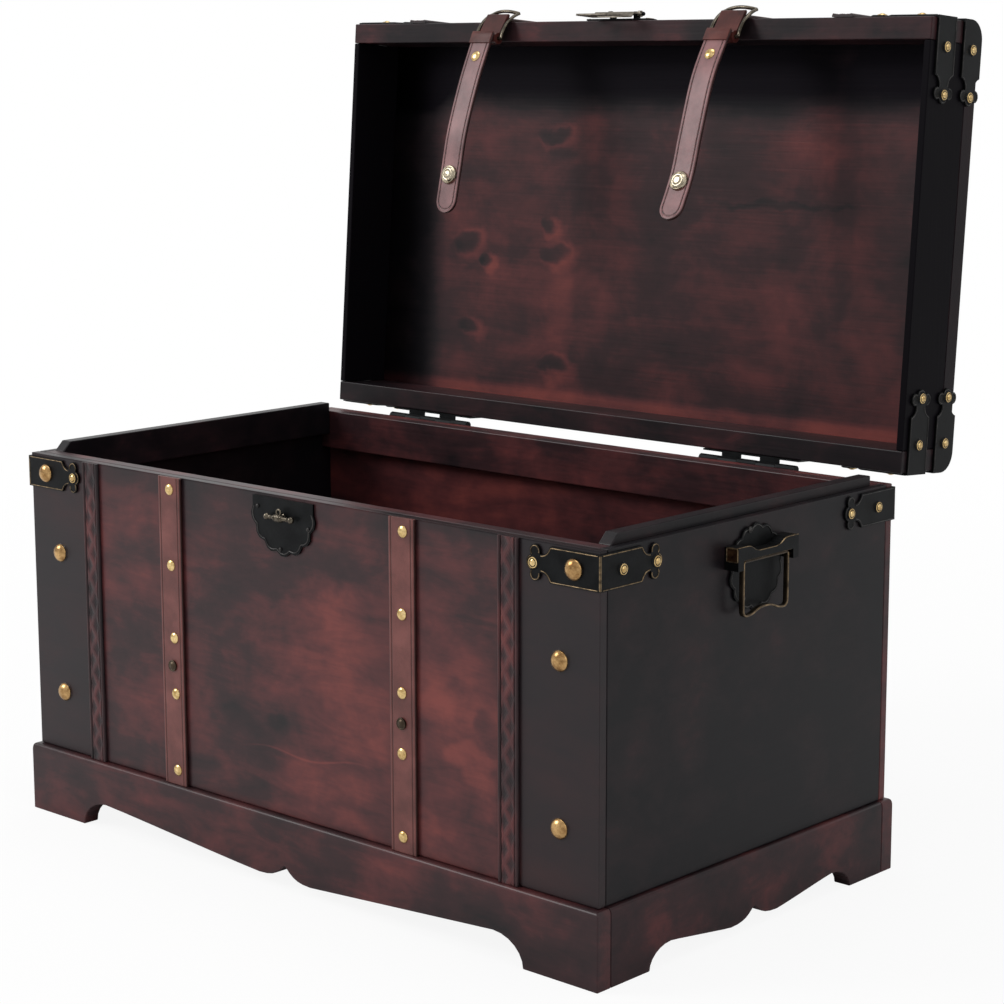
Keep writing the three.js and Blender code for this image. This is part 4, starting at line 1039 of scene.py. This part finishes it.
# Latch plate's raised rim, its screws and the turn knob. A scalloped edge is a chain of bows. The spindle's
# profile is half its length, in (x, radius); the post's and the acorn's are in (radius, out of the face).
latch = {
    "radius": 37.8, "centre": (0, 312), "lobes": 7, "valley": 0.92, "thickness": 1.5, "rim": 2.2, "bead": 1.3,
    "spacing": 1.2, "screws": [(-29, 312), (29, 300), (-3, 280)], "screw": (1.7, 1.0),
}
knob = {
    "z": 306, "out": 6.0, "sides": 20, "acornRise": 0.2, "loopRise": 4.6, "loopRadius": 2.3, "loopWire": 0.8,
    "spindle": [
        (-16.9, 0), (-16.6, 1.1), (-15.6, 2.3), (-14.0, 2.9), (-12.4, 2.4), (-11.4, 1.3), (-10.6, 1.2),
        (-10.0, 1.9), (-9.2, 1.9), (-8.6, 1.3), (-6.5, 1.7), (-4.8, 2.1), (-4.2, 3.0), (-3.4, 3.0),
        (-2.9, 2.4), (-2.2, 3.3),
    ],
    "post": [(0, 0.3), (3.0, 0.3), (3.0, 1.2), (2.2, 1.8), (2.0, 4.5), (2.6, 6.0), (0, 6.0)],
    "acorn": [(0, 3.4), (2.2, 3.8), (3.0, 4.8), (3.3, 6.1), (3.1, 7.4), (2.4, 8.5), (1.3, 9.1), (0, 9.3)],
}


def scallops(centre, radius, start, sweep, lobes):
    half = sweep / lobes / 2
    low = radius * latch["valley"]
    pull = 2 * radius - low * cos(half)
    lines = []
    for i in range(lobes):
        near = start + half * 2 * i
        spots = ((low, near), (pull, near + half), (low, near + half * 2))
        lines.append(bow([(centre[0] + r * cos(a), centre[1] + r * sin(a)) for r, a in spots], steps=6))
    return np.concatenate(lines)


latchFace = chest["gap"] + latch["thickness"]
latchLine = scallops(latch["centre"], latch["radius"] - latch["rim"], pi, pi, latch["lobes"])
latchBead = carried(evenly(latchLine, latch["spacing"]), beadSection * latch["bead"]) + (0, 0, latchFace)
makePiece("latchRim", [onFront(latchBead)], "latch_plate", finishes["grey"])
screwPlaces = [frontHead(x, z, latchFace, latch["screw"]) for x, z in latch["screws"]]
makePiece("latchScrews", [headGrid(screwPlaces, "ring")], "latch_plate", finishes["grey"])


# A shape turned about a line along X: r(x) is the profile, mirrored at the middle
def turnedX(profile, centre):
    half = np.array(profile, float)
    full = np.concatenate([half, half[::-1] * (-1, 1)])
    angle = np.linspace(0, 2 * pi, knob["sides"], endpoint=False)
    x = np.broadcast_to(full[:, :1], (len(full), knob["sides"]))
    return np.stack([x, full[:, 1:] * np.cos(angle), full[:, 1:] * np.sin(angle)], -1) + centre


# A shape turned about a line along -Y: the profile gives radius and distance out of the face
def turnedOut(profile, centre):
    shape = np.array(profile, float)
    angle = np.linspace(0, 2 * pi, knob["sides"], endpoint=False)
    radius, out = shape[:, :1], shape[:, 1:]
    return np.stack([radius * np.cos(angle), -out + 0 * angle, radius * np.sin(angle)], -1) + centre


spindle = turnedX(knob["spindle"], (0, chest["frontY"] - knob["out"], knob["z"]))
post = turnedOut(knob["post"], (0, chest["frontY"], knob["z"]))
acorn = turnedOut(knob["acorn"], (0, chest["frontY"], knob["z"] + knob["acornRise"]))
makePiece("latchKnob", [spindle, post, acorn], "turn_knob", finishes["pewter"], replaced=["turn_knob"])
loopLine = arc((0, knob["z"] + knob["loopRise"]), knob["loopRadius"], 0, 345, steps=23)
loop = carried(loopLine, roundSection(knob["loopWire"], sides=10), True) + (0, 0, knob["out"])
makePiece("latchLoop", [onFront(loop)], "turn_knob", finishes["pewter"], closedRows=True)

# Hasp on the lid: the plate's raised rim
hasp = {"plate": 37, "z": 327.4, "spacing": 1.5}
haspLine = scallops((0, hasp["z"]), hasp["plate"] - latch["rim"], 0, pi, latch["lobes"])
haspBead = carried(evenly(haspLine, hasp["spacing"]), beadSection * latch["bead"]) + (0, 0, latchFace)
makePiece("haspRim", [openLid(onFront(haspBead))], "hasp_plate", finishes["worn"])
print("latch made")

# Side handles: raised rim and screws on the scalloped plate, worn edges and end faces on the hood, and the
# bail. The sizes of the rim's bead, the hood's edges and its cap are shares of the fittings' bead.
handle = {
    "z": 284, "radius": 34, "rim": 2, "rimBead": 1.2, "lobes": 14, "plate": 1.8, "spacing": 1.5,
    "screws": [(-9, 29.5), (-17, -22)], "screw": (2.4, 1.2),
}
hood = {
    "half": 37.8, "low": 10.5, "high": 20.5, "waist": 15.4, "proud": 13, "inset": 0.7, "foot": 2.2, "ear": 31,
    "shares": (0.68, 0.48, 0.28), "edge": 1.3, "lowEdge": 0.9, "cap": 1.2, "capMargins": (-0.6, -0.4),
    "capSpacing": 1.3, "capRing": 0.1, "capFaces": (-0.3, 0.12),
}
bail = {
    "half": 28.75, "band": 2.0, "depth": 4.4, "foot": 34.2, "raise": 4.5, "corner": 6, "top": 9.6,
    "wave": 0.45, "shoulder": 2, "gap": 4, "out": 9, "round": 0.7, "spacing": 1.2,
    "pin": (27, 35), "pinRise": 6, "pinRadius": 1.6, "wear": 0.92, "wearInset": 0.75,
}


def hoodLine():
    high, low, half = hood["high"], hood["waist"], hood["half"]
    shoulder, bend, waist = (share * half for share in hood["shares"])
    left = bow([(-shoulder, high), (-bend, high), (-bend, low), (-waist, low)], steps=10)
    return np.concatenate([[(-half, high)], left, left[::-1] * (-1, 1), [(half, high)]])


def bailLine():
    b = bail
    inset, reach = b["band"] / 2, b["shoulder"]
    half, top, foot, corner = b["half"] - inset, b["top"] - inset, inset - b["foot"], b["corner"] - inset
    rise, wave = foot + b["raise"], -half * b["wave"]
    shoulder = bow([(-half + reach, top), (-half, top), (-half, top - reach)], steps=5)
    turn = bow([(-half, foot + corner), (-half, foot), (-half + corner, foot)], steps=6)
    middle = bow([(-half + corner, foot), (wave, foot), (wave, rise), (0, rise)], steps=10)
    side = np.concatenate([[(-b["gap"], top)], shoulder, turn, middle])
    return np.concatenate([side, side[::-1] * (-1, 1)])


# The hood's end faces with a ring round each, as rings and faces
def hoodEnds(sign):
    low, high = hood["low"] + hood["capMargins"][0], hood["high"] + hood["capMargins"][1]
    back, front = hood["foot"], hood["proud"] - hood["inset"]
    corners = np.array([(back, low), (front, low), (front, high), (back, high)], float)
    ring = carried(evenly(corners, hood["capSpacing"], True), beadSection * hood["cap"], True)
    rings, faces = [], []
    for end in (-1, 1):
        u = end * (hood["half"] + hood["capRing"]) + ring[..., 2]
        rings.append(onSide(np.stack([u, ring[..., 1] + handle["z"], ring[..., 0]], -1), sign))
        u = np.repeat([[end * (hood["half"] + move)] for move in hood["capFaces"]], 4, axis=1)
        w, v = corners.T[:, None] + 0 * u
        faces.append(onSide(np.stack([u, v + handle["z"], w], -1), sign))
    return rings, faces


lift = np.array((0, handle["z"], 0))
bailSection = roundedSection(
    -bail["band"] / 2, bail["band"] / 2, -bail["depth"] / 2, bail["depth"] / 2, bail["round"])
wearSection = roundSection(bail["wear"], sides=10, centre=(0, bail["depth"] / 2 - bail["wearInset"]))
for side, sign in (("left", -1), ("right", 1)):
    plateNode, bailNode = f"{side}_handle_plate", f"{side}_handle_bail"
    rim = scallops((0, 0), handle["radius"] - handle["rim"], 0, 2 * pi, handle["lobes"])
    rimPath = evenly(rim[:-1], handle["spacing"], True)
    rimBead = carried(rimPath, beadSection * handle["rimBead"], True) + lift + (0, 0, handle["plate"])
    makePiece(f"{side}HandleRim", [onSide(rimBead, sign)], plateNode, finishes["grey"], closedRows=True)
    lowLine = [(-hood["ear"], hood["low"]), (hood["ear"], hood["low"])]
    hoodFace = lift + (0, 0, hood["proud"] - hood["inset"])
    edges = [
        carried(evenly(line, handle["spacing"]), beadSection * thick) + hoodFace
        for line, thick in ((hoodLine(), hood["edge"]), (lowLine, hood["lowEdge"]))]
    makePiece(f"{side}HoodEdges", [onSide(edge, sign) for edge in edges], plateNode, finishes["worn"])
    rings, faces = hoodEnds(sign)
    makePiece(f"{side}HoodEnds", rings, plateNode, finishes["worn"], closedRows=True)
    makePiece(f"{side}HoodCaps", faces, plateNode, finishes["hood"])
    screws = [
        (onSide(np.array([u, v + handle["z"], handle["plate"]], float), sign), (sign, 0, 0), *handle["screw"])
        for u, v in handle["screws"]]
    makePiece(f"{side}HandleScrews", [headGrid(screws, "ring")], plateNode, finishes["grey"])
    hung = lift + (0, 0, bail["out"])
    ring = carried(evenly(bailLine(), bail["spacing"], True), bailSection, True) + hung
    makePiece(f"{side}Bail", [onSide(ring, sign)], bailNode, finishes["bronze"], closedRows=True,
              replaced=[bailNode])
    pins = []
    for end in (-1, 1):
        rod = evenly([(end * at, bail["pinRise"]) for at in bail["pin"]], spacing=4)
        pins.append(onSide(carried(rod, roundSection(bail["pinRadius"], sides=14)) + hung, sign))
    makePiece(f"{side}BailPins", pins, bailNode, finishes["bronze"])
    wear = carried(evenly(bailLine()[2:-2], bail["spacing"]), wearSection) + hung
    makePiece(f"{side}BailWear", [onSide(wear, sign)], bailNode, finishes["worn"])
print("handles made")

# Strap ends on the lid's rim: the tongue hangs from the buckle's near bar along a smooth curve, whose shares
# are how far down and how far out it lies, as parts of its length
keeper = {"out": 5.4, "drop": 1, "length": 24.6, "lean": 34.6, "bore": 1.9, "leather": 3.4}
tongue = {
    "width": 24, "thickness": 3, "length": 166, "wrap": 27, "spacing": 1.2,
    "lean": {"left": 18.3, "right": 23.5},
    "shares": {
        "left": [(0, 0), (0.25, 0.030), (0.54, 0.040), (0.76, 0.022), (1, 0)],
        "right": [(0, 0), (0.25, 0.028), (0.54, 0.006), (0.76, -0.016), (1, 0)],
    },
    "rivet": (20, 5.0, 2.0), "snap": (131, 8.0, 3.9), "sunk": 0.1,
    "fold": 7.5, "foldThickness": 1.2, "foldHalf": 12.6, "foldGap": 0.1, "foldRound": 0.5,
}
buckle = {
    "width": 34, "side": 3.2, "thickness": 2.5, "round": 0.9, "bar": 1.6, "length": 33.5, "rise": 4.4,
    "angle": 41.6, "arch": 3, "nearInset": 1, "farInset": 1.6,
}

pivot = openLid(np.array([0, chest["frontY"] - keeper["out"], chest["lidRim"] - keeper["drop"]], float))
barY = pivot[1] - keeper["length"] * sin(radians(keeper["lean"]))
barZ = pivot[2] - keeper["length"] * cos(radians(keeper["lean"]))
tongueSeat = keeper["bore"] + keeper["leather"] + chest["gap"] + tongue["thickness"] / 2


# A smooth curve through the points: uniform Catmull-Rom pieces
def through(points, steps):
    points = np.asarray(points, float)
    padded = np.concatenate([points[:1], points, points[-1:]])
    t = np.linspace(0, 1, steps, endpoint=False)[:, None]
    spans = []
    for a, b, c, d in zip(padded, padded[1:], padded[2:], padded[3:]):
        bent = (2 * a - 5 * b + 4 * c - d) * t ** 2 + (3 * b - a - 3 * c + d) * t ** 3
        spans.append(0.5 * (2 * b + (c - a) * t + bent))
    return np.concatenate(spans + [points[-1:]])


def tonguePath(side):
    length = tongue["length"]
    hanging = through([(length * s, tongueSeat + length * n) for s, n in tongue["shares"][side]], steps=30)
    wrapped = arc((0, 0), tongueSeat, 90 + tongue["wrap"], 90, steps=6)[:-1]
    return evenly(np.concatenate([wrapped, hanging]), tongue["spacing"])


# From (s down the tongue, n outwards, c across) to its place under the bar
def hungFrom(grid, x, lean):
    s, n, c = np.moveaxis(grid, -1, 0)
    lean = radians(lean)
    return np.stack([x + c, barY - s * sin(lean) - n * cos(lean), barZ - s * cos(lean) + n * sin(lean)], -1)


# The half width follows a half circle at the end: w(s) = sqrt(r^2 - (s - (length - r))^2)
def tongueGrid(path):
    half = tongue["width"] / 2
    pastStraight = np.clip(path[:, 0] - (tongue["length"] - half), 0, half)
    widths = np.sqrt(np.clip(half ** 2 - pastStraight ** 2, 0, None))
    grid = stripGrid(path, leatherSection(half, tongue["thickness"]) - (0, tongue["thickness"] / 2))
    grid[..., 2] *= (widths / half)[:, None]
    return grid, stripUv(path, half - np.hypot(grid[..., 2], pastStraight[:, None]))


# Two bowed sides and two round bars, the far one arched
def buckleParts():
    b = buckle
    length, thick, edge = b["length"], b["thickness"] / 2, b["width"] / 2
    radius = ((length / 2) ** 2 + b["rise"] ** 2) / (2 * b["rise"])
    reach = np.degrees(np.arcsin(length / 2 / radius))
    line = arc((length / 2, b["rise"] - radius), radius, 90 + reach, 90 - reach, steps=20)
    sides = [
        carried(line, roundedSection(-thick, thick, c, c + b["side"], b["round"]))
        for c in (-edge, edge - b["side"])]
    ring = roundSection(b["bar"], sides=14)
    nearEdge, farEdge = edge - b["nearInset"], edge - b["farInset"]
    near = carried([(-nearEdge, 0), (nearEdge, 0)], ring)
    far = carried(bow([(-farEdge, 0), (0, 2 * b["arch"]), (farEdge, 0)], steps=16), ring)
    bars = ((0, near), (length, far))
    return sides + [np.stack([a + bar[..., 2], bar[..., 1], bar[..., 0]], -1) for a, bar in bars]


# From (a along the frame, rise, c across) to its place on the bar
def tilted(grid, x):
    a, rise, c = np.moveaxis(grid, -1, 0)
    angle = radians(buckle["angle"])
    y = barY + a * cos(angle) - rise * sin(angle)
    return np.stack([x + c, y, barZ + a * sin(angle) + rise * cos(angle)], -1)


fold = tongue["foldThickness"] / 2
foldLift = tongue["thickness"] / 2 + tongue["foldGap"] + fold
foldSection = roundedSection(-fold, fold, -tongue["foldHalf"], tongue["foldHalf"], tongue["foldRound"])
foldSection = foldSection + (foldLift, 0)
for side, x in strap["xs"].items():
    node, lean, path = f"{side}_tongue", tongue["lean"][side], tonguePath(side)
    grid, uv = tongueGrid(path)
    makePiece(f"{side}TongueLeather", [hungFrom(grid, x, lean)], node, finishes["tongue"],
              replaced=[node], uv=uv)
    normal = leftOf(np.gradient(path, axis=0))
    fixed = []
    for along, radius, height in (tongue["rivet"], tongue["snap"]):
        i = int(np.argmin(np.abs(path[:, 0] - along)))
        spot = path[i] + normal[i] * (tongue["thickness"] / 2 - tongue["sunk"])
        base, tip = (hungFrom(np.array([*p, 0.0]), x, lean) for p in (spot, spot + normal[i]))
        fixed.append((base, tip - base, radius, height))
    makePiece(f"{side}TongueRivet", [headGrid(fixed[:1], "dome")], node, finishes["brass"])
    makePiece(f"{side}TongueCap", [headGrid(fixed[1:], "ringed")], node, finishes["cap"])
    parts = [tilted(part, x) for part in buckleParts()]
    makePiece(f"{side}BuckleFrame", parts, f"{side}_buckle", finishes["pewter"], replaced=[f"{side}_buckle"])
    loop = carried(path[path[:, 0] < tongue["fold"]], foldSection)
    makePiece(f"{side}LoopFold", [hungFrom(loop, x, lean)], node, finishes["keeper"])
    easedCopy(f"{side}_keeper", easing["keeper"], finishes["keeper"])
print("strap ends hung")

# What is left of the CAD nodes takes the black metal
for node, slot in slotOf.items():
    if slot == "blackened_metal":
        setFinish(nodes[node], finishes["leaf" if node == "hasp_leaf" else "black"])
print("finishes set")
